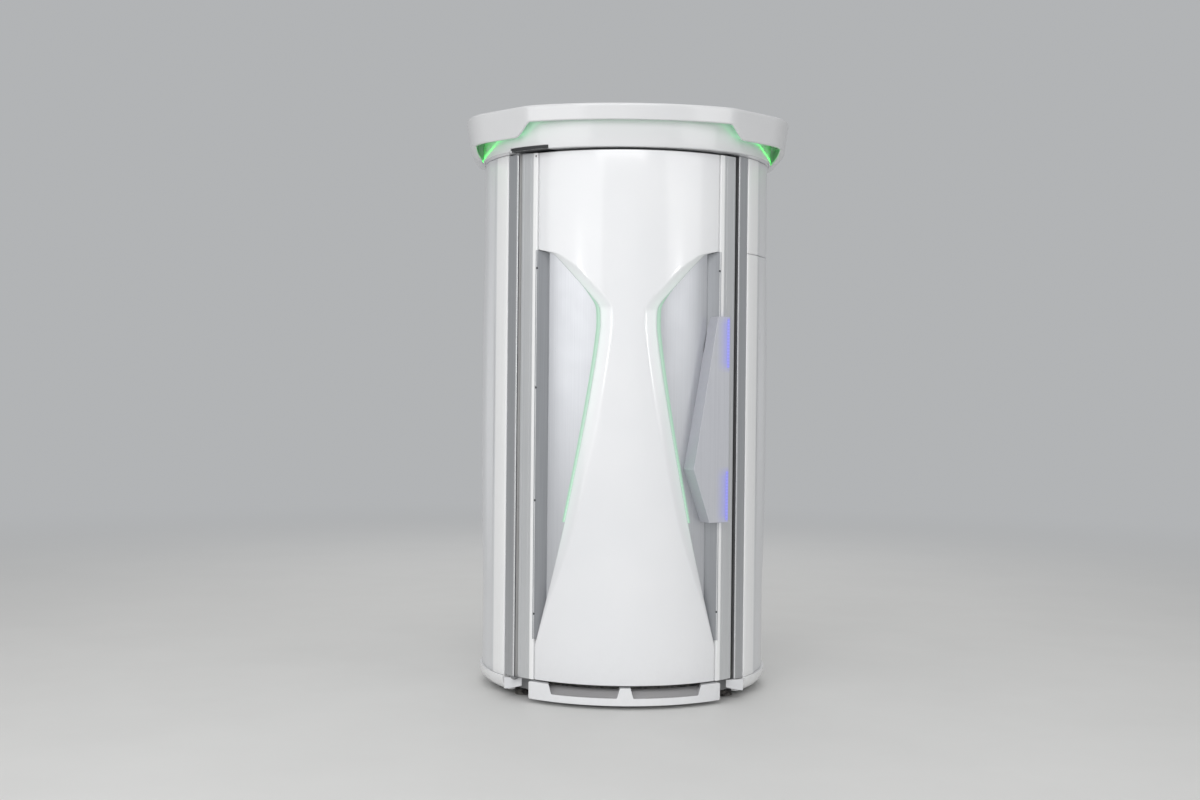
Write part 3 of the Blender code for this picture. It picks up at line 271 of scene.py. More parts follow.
finishes = {
    "glossWhite": moulded(150.0, (0.15, 0.25), ((0.775, 0.785, 0.805), (0.815, 0.820, 0.835)), 0.00010,
                          dust=(0.30, 0.07), fixed=coated(0.55, 0.07)),
    "stripWhite": drawn(220.0, 1.2, (0.26, 0.38), ((0.87, 0.875, 0.88), (0.91, 0.915, 0.92)), 0.00005,
                        fixed=coated(0.2, 0.2)),
    "silverSheet": drawn(420.0, 2.2, (0.27, 0.40), ((0.57, 0.58, 0.605), (0.63, 0.64, 0.665)), 0.00005,
                         fixed={"Metallic": 0.82}),
    # painted shade: a darker copy of the silver sheet for the border and the flange
    "borderPaintedShade": drawn(360.0, 2.0, (0.32, 0.44), ((0.33, 0.34, 0.36), (0.385, 0.395, 0.415)), 0.00005,
                        fixed={"Metallic": 0.70}),
    "alloy": drawn(300.0, 0.8, (0.27, 0.41), ((0.47, 0.48, 0.495), (0.54, 0.55, 0.565)), 0.00007,
                   dust=(0.30, 0.25), fixed={"Metallic": 0.85}),
    # painted light: the handle's blue glow beside its light bars
    "handleGrey": drawn(380.0, 2.0, (0.28, 0.40), ((0.57, 0.58, 0.62), (0.63, 0.64, 0.68)), 0.00006,
                        fixed={"Metallic": 0.35}, glowBody=(0.26, 0.27, 0.50), glowLight=(0.13, 0.13, 0.42),
                        glow={"across": (0.342, 0.396), "levels": (1.409, 0.815), "half": 0.074, "soft": 0.042}),
    # painted shade: a darker copy of the handle grey for its left bevel
    "handleEdgePaintedShade": drawn(380.0, 2.0, (0.30, 0.42), ((0.465, 0.47, 0.515), (0.515, 0.52, 0.565)), 0.00006,
                        fixed={"Metallic": 0.35}),
    "hingeSteel": drawn(500.0, 30.0, (0.22, 0.38), ((0.27, 0.27, 0.28), (0.36, 0.36, 0.37)), 0.00006,
                        fixed={"Metallic": 1.0}),
    "paintedSteel": moulded(380.0, (0.36, 0.50), ((0.24, 0.245, 0.255), (0.29, 0.295, 0.305)), 0.00010,
                            dust=(0.25, 0.3), fixed={"Metallic": 0.35}),
    "profileAlloy": drawn(420.0, 0.7, (0.30, 0.44), ((0.60, 0.61, 0.62), (0.68, 0.69, 0.70)), 0.00006,
                          fixed={"Metallic": 0.6}),
    "satinWhite": moulded(260.0, (0.50, 0.62), ((0.70, 0.705, 0.715), (0.74, 0.745, 0.755)), 0.00012,
                          fixed={"Specular IOR Level": 0.35}),
    # painted shade: a greyer copy of the shells' white moulding
    "shellPaintedShade": moulded(150.0, (0.27, 0.31), ((0.705, 0.715, 0.735), (0.73, 0.74, 0.76)), 0.00004,
                         dust=(0.30, 0.04), fixed=coated(0.2, 0.18)),
    # painted shade: the shadowed inside of the white intake scoops
    "scoopPaintedShade": moulded(420.0, (0.42, 0.58), ((0.36, 0.355, 0.365), (0.42, 0.415, 0.425)), 0.0001,
                         dust=(0.20, 0.2)),
    "polishedBead": drawn(420.0, 0.7, (0.20, 0.32), ((0.74, 0.75, 0.76), (0.81, 0.82, 0.83)), 0.00004,
                          fixed={"Metallic": 0.55}),
    "screwSteel": drawn(600.0, 600.0, (0.2, 0.36), ((0.12, 0.12, 0.125), (0.20, 0.20, 0.205)), 0.00004,
                        fixed={"Metallic": 1.0}),
    "darkPlastic": moulded(520.0, (0.42, 0.58), ((0.018, 0.019, 0.020), (0.034, 0.035, 0.037)), 0.00012,
                           dust=(0.30, 0.7)),
    "mirrorSheet": drawn(260.0, 0.9, (0.07, 0.15), ((0.80, 0.805, 0.81), (0.88, 0.885, 0.89)), 0.00003,
                         fixed={"Metallic": 1.0}),
    "clearSheet": moulded(24.0, (0.015, 0.05), ((0.95, 0.965, 0.965), (0.985, 0.99, 0.99)), 0.00004,
                          fixed={"Transmission Weight": 1.0, "IOR": 1.49}),
    "roseGlass": moulded(900.0, (0.10, 0.19), ((0.80, 0.50, 0.45), (0.86, 0.60, 0.55)), 0.00002,
                         fixed=coated(0.8, 0.03)),
    "softRubber": moulded(700.0, (0.62, 0.82), ((0.012, 0.012, 0.012), (0.026, 0.026, 0.027)), 0.00015,
                          dust=(0.25, 0.8)),
    "displayGlass": moulded(900.0, (0.06, 0.12), ((0.012, 0.014, 0.018), (0.018, 0.020, 0.026)), 0.00002,
                            dust=(0.9, 0.12), fixed=coated(0.6, 0.03)),
    "greyRubber": moulded(700.0, (0.55, 0.75), ((0.36, 0.36, 0.36), (0.42, 0.42, 0.42)), 0.00015),
    "treadMat": moulded(900.0, (0.48, 0.66), ((0.36, 0.37, 0.38), (0.44, 0.45, 0.46)), 0.00020, dust=(0.20, 0.35)),
    "filterFoam": moulded(420.0, (0.80, 0.95), ((0.010, 0.010, 0.011), (0.045, 0.046, 0.048)), 0.0012,
                          dust=(0.20, 0.8)),
    "startGreen": moulded(600.0, (0.20, 0.32), ((0.02, 0.30, 0.08), (0.03, 0.37, 0.10)), 0.00004,
                          fixed=coated(0.4, 0.1)),
    "stopRed": moulded(600.0, (0.20, 0.32), ((0.42, 0.015, 0.012), (0.52, 0.022, 0.016)), 0.00004,
                       fixed=coated(0.4, 0.1)),
    "paleFloor": moulded(60.0, (0.58, 0.70), (studio["floor"], tuple(v * 1.03 for v in studio["floor"])), 0.00008),
}
finishes.update({   # the same gloss white: with painted light from the light line at the skin's edge, or lighter or darker as painted light and shade
    # painted light: mint glow of the door's light line, painted on the skin's edge
    "skinWhitePaintedSpill": dict(finishes["glossWhite"], paintedSpill=(0.038, 0.120, 0.070)),
    # painted light: a lighter copy of the gloss white for the base skirts
    "skirtWhitePaintedLight": dict(finishes["glossWhite"], tones=((0.86, 0.865, 0.875), (0.90, 0.905, 0.91))),
    # painted shade: a darker copy of the gloss white for the canopy band and fascia
    "canopyWhitePaintedShade": dict(finishes["glossWhite"], tones=((0.675, 0.680, 0.695), (0.710, 0.715, 0.725))),
})
lights = {
    "greenLight": {"tones": ((0.36, 0.60, 0.43), (0.43, 0.69, 0.51)), "power": 1.0, "pitch": 0.0166,
                   "body": ((0.27, 0.40, 0.32), (0.32, 0.45, 0.37)),
                   "edge": (0.17, 0.28, 0.21),                        # outer side of the line, dimmed as painted reflection and shade
                   "top": (0.25, 0.34, 0.29), "fades": (0.70, 1.15)},
    "mintLight": {"tones": ((0.05, 0.72, 0.09), (0.07, 0.95, 0.12)), "power": 5.0, "pitch": 0.0125,
                  "dim": (0.06, 0.14, 0.09), "middle": (0.10, 0.36, 0.18),   # along the front, round the step
                  "rises": (0.33, 0.40), "bright": (0.560, 0.610)},          # bright in the side cups
    "blueLight": {"tones": ((0.16, 0.16, 0.46), (0.20, 0.20, 0.56)), "power": 1.0, "pitch": 0.0125,
                  "body": ((0.17, 0.18, 0.40), (0.20, 0.21, 0.45))},
}
dustColour = (0.36, 0.34, 0.31)
unlit = (0.0, 0.0, 0.0)
bumpStrength = 0.6
glowCurve = 1.6       # how fast the handle's glow falls off from the edge
chipScale = 0.314     # scale of the wave texture times the pitch of the light chips


def blendColours(tree, share, first, second):
    mix = addNode(tree, "ShaderNodeMix", data_type="RGBA")
    tree.links.new(share, mix.inputs[0])
    for index, colour in ((6, first), (7, second)):
        if isinstance(colour, bpy.types.NodeSocket):
            tree.links.new(colour, mix.inputs[index])
        else:
            mix.inputs[index].default_value = (*colour, 1.0)
    return mix.outputs[2]


def edgeGlow(tree, across, levels, half, soft):
    # painted light: blue light that spills inwards from an edge beside each light bar, put into colour and
    # emission
    place = splitPlace(tree)
    windows = []
    for level in levels:
        away = maths(tree, "ABSOLUTE", maths(tree, "SUBTRACT", place["Z"], level))
        windows.append(toRange(tree, away, 1.0, 0.0, half, half + soft))
    inward = maths(tree, "POWER", toRange(tree, place["X"], 0.0, 1.0, *across), glowCurve)
    return maths(tree, "MULTIPLY", maths(tree, "MAXIMUM", *windows), inward)


def startMaterial(name):
    material = bpy.data.materials.new(name)
    material.use_nodes = True
    return material, material.node_tree, material.node_tree.nodes["Principled BSDF"].inputs


# painted light: share of the light line's painted glow, on the skin and across the line itself
def paintedSpillShare(tree):
    return addNode(tree, "ShaderNodeAttribute", attribute_name="paintedSpill").outputs["Fac"]


def makeFinish(name, effects):
    plan = finishes[name]
    material, tree, shader = startMaterial(name)
    for title, value in plan["fixed"].items():
        shader[title].default_value = value
    detail = addNode(tree, "ShaderNodeGroup", **{"node_tree": effects[plan["effect"]], **plan["given"]}).outputs
    colour = blendColours(tree, detail["Tone"], *plan["tones"])
    light = None
    if "dust" in plan:
        reach, amount = plan["dust"]
        dust = addNode(tree, "ShaderNodeGroup", node_tree=effects["dust"], Reach=reach, Amount=amount)
        colour = blendColours(tree, dust.outputs["Mask"], colour, dustColour)
    # painted light: emission standing for light from a nearby lamp falling on this surface
    if "paintedSpill" in plan:
        light = blendColours(tree, paintedSpillShare(tree), unlit, plan["paintedSpill"])
    if "glow" in plan:
        # painted light: the handle lit blue beside its light bars
        share = edgeGlow(tree, **plan["glow"])
        colour = blendColours(tree, share, colour, plan["glowBody"])
        light = blendColours(tree, share, unlit, plan["glowLight"])
    if light:
        tree.links.new(light, shader["Emission Color"])
        shader["Emission Strength"].default_value = 1.0
    bump = addNode(tree, "ShaderNodeBump", Strength=bumpStrength, Distance=plan["bump"], Height=detail["Height"])
    tree.links.new(colour, shader["Base Color"])
    tree.links.new(detail["Gloss"], shader["Roughness"])
    tree.links.new(bump.outputs["Normal"], shader["Normal"])
    return material


def makeLight(name, effects):
    # diffuser over a row of small light chips: brighter over each chip
    plan = lights[name]
    material, tree, shader = startMaterial(name)
    place = splitPlace(tree)
    chips = addNode(tree, "ShaderNodeTexWave", bands_direction="Z", Vector=objectPlace(tree),
                    Scale=chipScale / plan["pitch"], Distortion=0.0)
    detail = addNode(tree, "ShaderNodeGroup", node_tree=effects["moulded"]).outputs
    glow = blendColours(tree, chips.outputs["Fac"], *plan["tones"])
    if "top" in plan:
        glow = blendColours(tree, toRange(tree, place["Z"], 0.0, 1.0, *plan["fades"]), glow, plan["top"])
    if "dim" in plan:
        away = maths(tree, "ABSOLUTE", place["X"])
        low = blendColours(tree, toRange(tree, away, 0.0, 1.0, *plan["rises"]), plan["dim"], plan["middle"])
        glow = blendColours(tree, toRange(tree, away, 0.0, 1.0, *plan["bright"]), low, glow)
    if "edge" in plan:
        # painted reflection and shade: the line's outer side dimmed towards its edge colour
        glow = blendColours(tree, paintedSpillShare(tree), plan["edge"], glow)
    body = plan.get("body", plan["tones"])
    tree.links.new(glow, shader["Emission Color"])
    tree.links.new(blendColours(tree, detail["Tone"], *body), shader["Base Color"])
    tree.links.new(detail["Gloss"], shader["Roughness"])
    shader["Emission Strength"].default_value = plan["power"]
    return material


def makeFinishes():
    effects = {"moulded": mouldedGroup(), "drawn": brushedGroup(), "dust": dustGroup()}
    made = {name: makeFinish(name, effects) for name in finishes}
    made.update({name: makeLight(name, effects) for name in lights})
    return made


makeCamera()
makeStudio()
finish = makeFinishes()
makeFloor(finish["paleFloor"])
print("studio and", len(finish), "finishes ready")


# helpers that turn outlines and CAD nodes into finished pieces
creases = {   # degrees from which an edge is shaded sharp
    "usual": 34.0, "soft": 50.0, "shell": 40.0, "band": 38.0, "grown": 36.0, "sheet": 30.0, "profile": 24.0,
    "fold": 20.0,
}
sides = (("left", -1), ("right", 1))
upward, rearward = (0.0, 0.0, 1.0), (0.0, 1.0, 0.0)


def newPiece(name, mesh, material):
    data = bpy.data.meshes.new(name)
    mesh.to_mesh(data)
    mesh.free()
    piece = bpy.data.objects.new(name, data)
    data.materials.append(finish[material])
    bpy.context.collection.objects.link(piece)
    return piece


def settle(piece):
    # the evaluated mesh takes the place of the modifiers
    picture = bpy.context.evaluated_depsgraph_get()
    data = bpy.data.meshes.new_from_object(piece.evaluated_get(picture))
    piece.modifiers.clear()
    old, piece.data = piece.data, data
    data.name = piece.name
    bpy.data.meshes.remove(old)
    return piece


def shade(piece, crease="usual"):
    mesh = bmesh.new()
    mesh.from_mesh(piece.data)
    limit = math.radians(creases[crease])
    for edge in mesh.edges:
        edge.smooth = len(edge.link_faces) == 2 and edge.calc_face_angle(0.0) < limit
    for face in mesh.faces:
        face.smooth = True
    mesh.to_mesh(piece.data)
    mesh.free()
    return piece


def soften(piece, width, angle=28.0):
    if width > 0.0:
        bevel = piece.modifiers.new("edge", "BEVEL")
        bevel.width = width
        bevel.segments = 2
        bevel.limit_method = "ANGLE"
        bevel.angle_limit = math.radians(angle)
        bevel.miter_outer = "MITER_ARC"
        settle(piece)
    shade(piece)
    level = piece.modifiers.new("flats", "WEIGHTED_NORMAL")   # flat faces stay flat between soft edges
    level.keep_sharp = True
    return settle(piece)


def mount(piece, body, slot, *nodes):
    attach(piece, body)
    if nodes:
        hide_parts(*nodes)
    return piece


def putPiece(name, mesh, material, crease, *place):
    # place: body, slot and the nodes that the piece stands for
    return mount(shade(newPiece(name, mesh, material), crease), *place)


def putSoftened(name, mesh, material, width, *place):
    return mount(soften(newPiece(name, mesh, material), width), *place)


def markPaintedSpill(piece, shares):
    layer = piece.data.attributes.new("paintedSpill", "FLOAT", "POINT")
    layer.data.foreach_set("value", shares)


def mergedNode(node):
    mesh = bmesh.new()
    mesh.from_mesh(frame["nodes"][node].data)
    bmesh.ops.remove_doubles(mesh, verts=mesh.verts, dist=2e-6)
    bmesh.ops.dissolve_limit(mesh, angle_limit=math.radians(0.6), verts=mesh.verts, edges=mesh.edges)
    return mesh


# nodes whose solid already has the right form: finish, slot, edge radius in metres, nodes
refinedNodes = (
    ("alloy", "alloy", 0.0012, "door_top_rail door_bottom_rail"),
    ("mirrorSheet", "reflector", 0.0, "door_back_panel"),
    ("clearSheet", "acrylic", 0.0008, "door_shield"),
    ("alloy", "alloy", 0.0012, "left_post right_post"),
    ("softRubber", "rubber", 0.0015, "latch_seal"),
    ("paintedSteel", "steel", 0.0008, "top_hinge_arm bottom_hinge_arm"),
    ("hingeSteel", "steel", 0.0008, "top_hinge_bracket bottom_hinge_bracket"),
    ("paintedSteel", "steel", 0.002, "base_pan"),
    ("treadMat", "rubber", 0.002, "standing_floor"),
    # painted light: the base skirts take a lighter copy of the gloss white
    ("skirtWhitePaintedLight", "gloss_white", 0.004, "left_base_skirt right_base_skirt"),
    ("glossWhite", "gloss_white", 0.0035, "front_plinth"),
    ("filterFoam", "dark_plastic", 0.001, "intake_filter"),
    ("glossWhite", "gloss_white", 0.0015, "rear_cover"),
    ("glossWhite", "gloss_white", 0.003, "rear_column"),
    ("mirrorSheet", "reflector", 0.0, "left_reflector right_reflector"),
    ("clearSheet", "acrylic", 0.0008, "left_shield_front left_shield_rear right_shield_front right_shield_rear"),
    ("darkPlastic", "dark_plastic", 0.003, "control_panel"),
    ("glossWhite", "gloss_white", 0.001, "ceiling_panel"),
    ("satinWhite", "gloss_white", 0.0015, "canopy_lid"),
    ("darkPlastic", "dark_plastic", 0.001, "roof_grille ceiling_grille fan_housing"),
    ("darkPlastic", "dark_plastic", 0.0008, "fan_rotor"),
    ("handleGrey", "silver_sheet", 0.0022, "door_handle"),
    ("blueLight", "blue_light", 0.0015, "handle_light_upper handle_light_lower"),
)
plinthEnds = {"node": "front_plinth", "beyond": 38.6, "round": 0.011, "steps": 4, "sharp": 0.5}
handleBevel = {"node": "door_handle", "finish": "handleEdgePaintedShade", "facing": -0.3}   # it faces the neck, towards -X


def roundPlinthEnds(mesh):
    # only the edges of the two end faces, so the scoops keep their own small radii
    def atEnd(vert):
        return abs(math.degrees(math.atan2(vert.co.x, -vert.co.y))) > plinthEnds["beyond"]

    edges = [edge for edge in mesh.edges if atEnd(edge.verts[0]) and atEnd(edge.verts[1])
             and edge.calc_face_angle(0.0) > plinthEnds["sharp"]]
    bmesh.ops.bevel(mesh, geom=edges, offset=plinthEnds["round"], segments=plinthEnds["steps"], profile=0.5,
                    affect="EDGES")


def paintBevelShade(piece):
    # painted shade: the bevel facing left gets a darker copy of the handle's grey
    piece.data.materials.append(finish[handleBevel["finish"]])
    for face in piece.data.polygons:
        face.material_index = int(face.normal.x < handleBevel["facing"] and face.normal.y < 0.0)


def refineNodes():
    for material, slot, radius, nodes in refinedNodes:
        for node in nodes.split():
            mesh = mergedNode(node)
            if node == plinthEnds["node"]:
                roundPlinthEnds(mesh)
            piece = soften(newPiece(node + "_finished", mesh, material), radius)
            if node == handleBevel["node"]:
                paintBevelShade(piece)
            mount(piece, bodyOf[node], slot, node)
    print("refined nodes made")


refineNodes()


def polarPoint(radius, angle, z):
    turn = math.radians(angle)
    return (radius * math.sin(turn), -radius * math.cos(turn), z)


def between(start, end, share):
    return start + (end - start) * share


def eased(share):
    return share * share * (3.0 - 2.0 * share)


def evenly(start, end, count):
    return [start + (end - start) * i / count for i in range(count + 1)]


def loftRings(rings, closed=False):
    # skin over a row of equal loops, capped at both ends unless the row closes on itself
    mesh = bmesh.new()
    loops = [[mesh.verts.new(point) for point in ring] for ring in rings]
    pairs = list(zip(loops, loops[1:])) + ([(loops[-1], loops[0])] if closed else [])
    for near, far in pairs:
        for i in range(len(near)):
            j = (i + 1) % len(near)
            mesh.faces.new((near[i], near[j], far[j], far[i]))
    if not closed:
        mesh.faces.new(loops[0][::-1])
        mesh.faces.new(loops[-1])
    bmesh.ops.recalc_face_normals(mesh, faces=mesh.faces)
    return mesh


def arcPath(radius, start, end, step=1.5):
    count = max(1, round(abs(end - start) / step))
    return [(radius, angle) for angle in evenly(start, end, count)]


def prismMesh(section, heights, sign=1):
    # a section that both sides share is drawn on the right, and sign mirrors it
    return loftRings([[polarPoint(radius, sign * angle, z) for radius, angle in section] for z in heights])


# hourglass door skin, its edge rolled wide round the neck and tight beside the strips
doorSkin = {
    "radius": 0.585, "inner": 0.550, "wall": 0.006, "bottom": 0.0902, "top": 2.1418,
    "tip": 0.224, "waist": 1.470, "shoulder": 1.766, "waistHalf": 0.1135, "fullAngle": 37.53, "flareBelow": 1.19,
    "foot": 1.545, "run": 0.92, "bend": 0.010, "level": 1.742,   # straight shoulder, bent at its foot
    "roll": 0.013, "slope": 0.061, "slopeDrop": 0.024, "fade": 0.115, "crest": 0.24, "brink": 0.86, "pitch": 0.74,
    "columns": 40, "rollSteps": 20, "backColumns": 16, "backEvery": 4, "backFall": 0.75,
    "rows": 90, "neckRows": 64, "neckCrowd": 1.4, "footRow": 0.17, "topRows": (1.80, 1.95),
    "endEase": 0.003, "easeRows": (0.0, 0.15, 0.5, 1.0),
    "spillFade": 0.18, "spillPower": (2.0, 0.7), "paintedSpillShare": (0.75, 1.0),   # below and above the waist
}


def skinHalf(z):
    plan = doorSkin
    full = plan["radius"] * math.sin(math.radians(plan["fullAngle"]))
    spread = full - plan["waistHalf"]
    if z >= plan["waist"]:
        z = min(z, plan["shoulder"])
        climb = plan["bend"] * math.log(1.0 + math.exp(plan["run"] * (z - plan["foot"]) / plan["bend"]))
        share = max(0.0, (z - plan["level"]) / (plan["shoulder"] - plan["level"]))
        climb += (spread - plan["run"] * (plan["shoulder"] - plan["foot"])) * share * share
    else:
        climb = spread * min(1.0, (plan["waist"] - z) / (plan["waist"] - plan["tip"])) ** plan["flareBelow"]
    return min(full, plan["waistHalf"] + climb), full


def skinEdge(z):
    return math.degrees(math.asin(skinHalf(z)[0] / doorSkin["radius"]))


def edgeFall(share, neck):
    # drop from crest to edge: a round roll beside the strips, a crisp slope with a soft brink at the neck
    crest, brink, pitch = (doorSkin[key] for key in ("crest", "brink", "pitch"))
    fall = pitch * share * share / (2 * crest) if share < crest else pitch * (share - crest / 2)
    if share > brink:
        over = (share - brink) / (1.0 - brink)
        fall += (1.0 - pitch * (1.0 - crest / 2)) * (1.0 - math.sqrt(max(0.0, 1.0 - over * over)))
    return (1.0 - neck) * (1.0 - math.sqrt(max(0.0, 1.0 - share * share))) + neck * fall


def skinSection(z):
    plan = doorSkin
    half, full = skinHalf(z)
    radius, edge = plan["radius"], skinEdge(z)
    ease = max(0.0, plan["endEase"] - min(z - plan["bottom"], plan["top"] - z))
    radius -= plan["endEase"] - math.sqrt(max(0.0, plan["endEase"] ** 2 - ease ** 2))
    neck = eased(min(1.0, (full - half) / plan["fade"]))
    width = math.degrees(between(plan["roll"], plan["slope"], neck) / plan["radius"])
    drop = between(plan["roll"], plan["slopeDrop"], neck)
    wallAngle = math.degrees(plan["wall"] / plan["radius"])
    face = [(radius, angle) for angle in evenly(width - edge, edge - width, plan["columns"])]
    outer, inner = [], []
    for i in range(1, plan["rollSteps"] + 1):
        share = math.sin(math.pi / 2 * i / plan["rollSteps"])
        angle = edge - width * (1.0 - share)
        fall = drop * edgeFall(share, neck)
        outer.append((radius - fall, angle))
        if i % plan["backEvery"] == 0:
            inner.append((radius - plan["wall"] - plan["backFall"] * fall, angle - wallAngle))
    right = outer + [(plan["inner"], edge), (plan["inner"], edge - wallAngle)] + inner[::-1]
    reach = edge - width - wallAngle
    rear = [(radius - plan["wall"], angle) for angle in evenly(reach, -reach, plan["backColumns"])]
    left = [(r, -angle) for r, angle in reversed(right)]
    return [polarPoint(r, angle, z) for r, angle in face + right + rear + left]


def paintedLightSpill(place):
    # painted light: how much of the light line's glow is painted on a point of the skin's sloping edge, wider over
    # the shoulders' slope
    plan = doorSkin
    angle = abs(math.degrees(math.atan2(place.x, -place.y)))
    reach = math.degrees(plan["slope"] / plan["radius"])
    edge = skinEdge(min(max(place.z, plan["tip"]), plan["shoulder"]))
    near = min(1.0, max(0.0, 1.0 - (edge - angle) / reach))
    past = max(0.0, doorPanels["lightBottom"] - place.z, place.z - plan["shoulder"] + plan["spillFade"])
    above = min(1.0, max(0.0, (place.z - plan["waist"]) / plan["spillFade"]))
    strength = near ** between(*plan["spillPower"], above) * between(*plan["paintedSpillShare"], above)
    return strength * max(0.0, 1.0 - past / plan["spillFade"])


def makeSkin():
    plan = doorSkin
    low, high, ease = plan["bottom"], plan["top"], plan["endEase"]
    heights = [low + ease * share for share in plan["easeRows"]] + [plan["footRow"]]
    heights += evenly(plan["tip"], plan["waist"], plan["rows"])
    for t in evenly(0.0, 1.0, plan["neckRows"])[1:]:   # closer rows towards the shoulder
        heights.append(between(plan["waist"], plan["shoulder"], 1.0 - (1.0 - t) ** plan["neckCrowd"]))
    heights += [*plan["topRows"]] + [high - ease * share for share in reversed(plan["easeRows"])]
    skin = newPiece("doorSkinShell", loftRings([skinSection(z) for z in heights]), "skinWhitePaintedSpill")
    # painted light: the skin's sloping edge glows with the light line's mint
    markPaintedSpill(skin, [paintedLightSpill(vert.co) for vert in skin.data.vertices])
    mount(shade(skin, "soft"), "door", "gloss_white", "door_skin")
    glossRidges(skin)
    print("door skin:", len(skin.data.polygons), "faces")


# silver panels behind the neck, each with a raised border, and the light line round the skin's edge
doorPanels = {
    "back": 0.5436, "face": 0.5466, "proud": 0.0025, "outer": 37.53, "border": 3.1, "start": 8.30,
    "bottom": 0.215, "top": 1.801, "lip": 0.0008,
    "lightBottom": 0.710, "lightTop": 1.635, "lightInner": 0.5471, "lightDepth": 0.0080, "lightWidth": 0.0165,
    "lightGap": 0.0010, "lightTip": 0.0030, "lightTaper": 0.125, "lightLow": 0.35, "lightRows": 110,
    "lightEdge": 1.3,   # how soon the line dims towards its outer side, a painted reflection and shade
    "lightCrown": ((0.0, 0.0), (0.0, 1.0), (0.30, 1.0), (0.70, 0.72), (0.95, 0.48), (1.0, 0.30), (0.85, 0.0)),
    "flangeFront": 0.5870, "flangeWall": 0.0014, "flangeGap": 0.25, "flangeLap": 0.40, "flangeLeast": 0.25,
    "flangeProud": 0.0012, "flangeEnds": (0.004, 0.0015), "flangeRows": 150, "flangeColumns": 6,
}
panelRise = doorPanels["face"] + doorPanels["proud"]
panelFold = doorPanels["outer"] - doorPanels["border"]


def makeInsert(side, sign):
    plan = doorPanels
    lip = math.degrees(plan["lip"] / panelRise)
    section = arcPath(plan["face"], plan["start"], panelFold - 3 * lip)
    section += [(panelRise - plan["lip"], panelFold), (panelRise, panelFold + lip)]
    section += arcPath(panelRise, panelFold + 2 * lip, plan["outer"] - lip)
    section += [(panelRise - plan["lip"], plan["outer"])] + arcPath(plan["back"], plan["outer"], plan["start"])
    mesh = prismMesh(section, (plan["bottom"], plan["top"]), sign)
    panel = newPiece(f"doorPanel_{side}", mesh, "silverSheet")
    # painted shade: the raised border takes a darker copy of the silver sheet
    panel.data.materials.append(finish["borderPaintedShade"])
    for face in panel.data.polygons:
        across = math.degrees(math.atan2(abs(face.center.x), -face.center.y))
        face.material_index = int(across > panelFold - 4 * lip and abs(face.normal.z) < 0.5)
    mount(shade(panel, "fold"), "door", "silver_sheet", f"door_insert_{side}")


def makeFlange(side, sign):
    # sheet that climbs from the panel's border to the white strip
    plan = doorPanels
    rim = plan["outer"] + plan["flangeLap"]
    low, high = plan["flangeEnds"]
    rings = []
    for z in evenly(doorSkin["tip"] + low, doorSkin["shoulder"] - high, plan["flangeRows"]):
        near = max(panelFold, skinEdge(z) + plan["flangeGap"])
        if near > plan["outer"] - plan["flangeLeast"]:
            continue
        sheet = []
        for angle in evenly(near, rim, plan["flangeColumns"]):
            climb = (angle - panelFold) / (rim - panelFold)
            sheet.append((panelRise + plan["flangeProud"] + (plan["flangeFront"] - panelRise) * climb, angle))
        sheet += [(radius - plan["flangeWall"], angle) for radius, angle in reversed(sheet)]
        rings.append([polarPoint(radius, sign * angle, z) for radius, angle in sheet])
    # painted shade: the flange takes a darker copy of the silver sheet
    putPiece(f"doorFlange_{side}", loftRings(rings), "borderPaintedShade", "sheet", "door", "silver_sheet")


def makeLightLine(side, sign):
    # its crown: shares of depth and width, from the skin outwards
    plan = doorPanels
    inner, crown = plan["lightInner"], plan["lightCrown"]
    rings = []
    for z in evenly(plan["lightBottom"], plan["lightTop"], plan["lightRows"]):
        near = skinEdge(z) + math.degrees(plan["lightGap"] / inner)
        full = eased(min(1.0, (plan["lightTop"] - z) / plan["lightTaper"]))
        width = math.degrees(between(plan["lightTip"], plan["lightWidth"], full) / inner)
        depth = plan["lightDepth"] * between(plan["lightLow"], 1.0, full)
        rings.append([polarPoint(inner + depth * height, sign * (near + width * share), z)
                      for height, share in crown])
    line = newPiece(f"doorLight_{side}", loftRings(rings), "greenLight")
    # painted reflection and shade: the line's outer side is dimmed
    markPaintedSpill(line, [max(0.0, 1.0 - plan["lightEdge"] * share) for height, share in crown] * len(rings))
    mount(shade(line, "soft"), "door", "green_light", f"door_led_{side}")


# white strips and alloy edge profiles, each with the small grooves of an extrusion
doorEdges = {
    "bottom": 0.0902, "top": 2.1418, "front": 0.585, "back": 0.455, "wall": 0.004, "ease": 0.12, "round": 0.0012,
    "frame": (39.75, 45.9), "grooves": (41.0, 44.75), "groove": 0.0012,
    "strip": (37.59, 39.69), "stripBack": 0.5436, "stripProud": 0.001,
    "stripRound": ((0.0015, 0.0), (0.0003, 0.1)), "stripFlat": 0.3,   # fall and inset of the rounded edges
}


def groovedArc(radius, start, end, grooves, depth):
    # arc with small V grooves cut in it
    half = math.degrees(depth / radius)
    path, at = [], start
    for groove in grooves:
        path += arcPath(radius, at, groove - half, 1.0)
        path.append((radius - depth, groove))
        at = groove + half
    return path + arcPath(radius, at, end, 1.0)


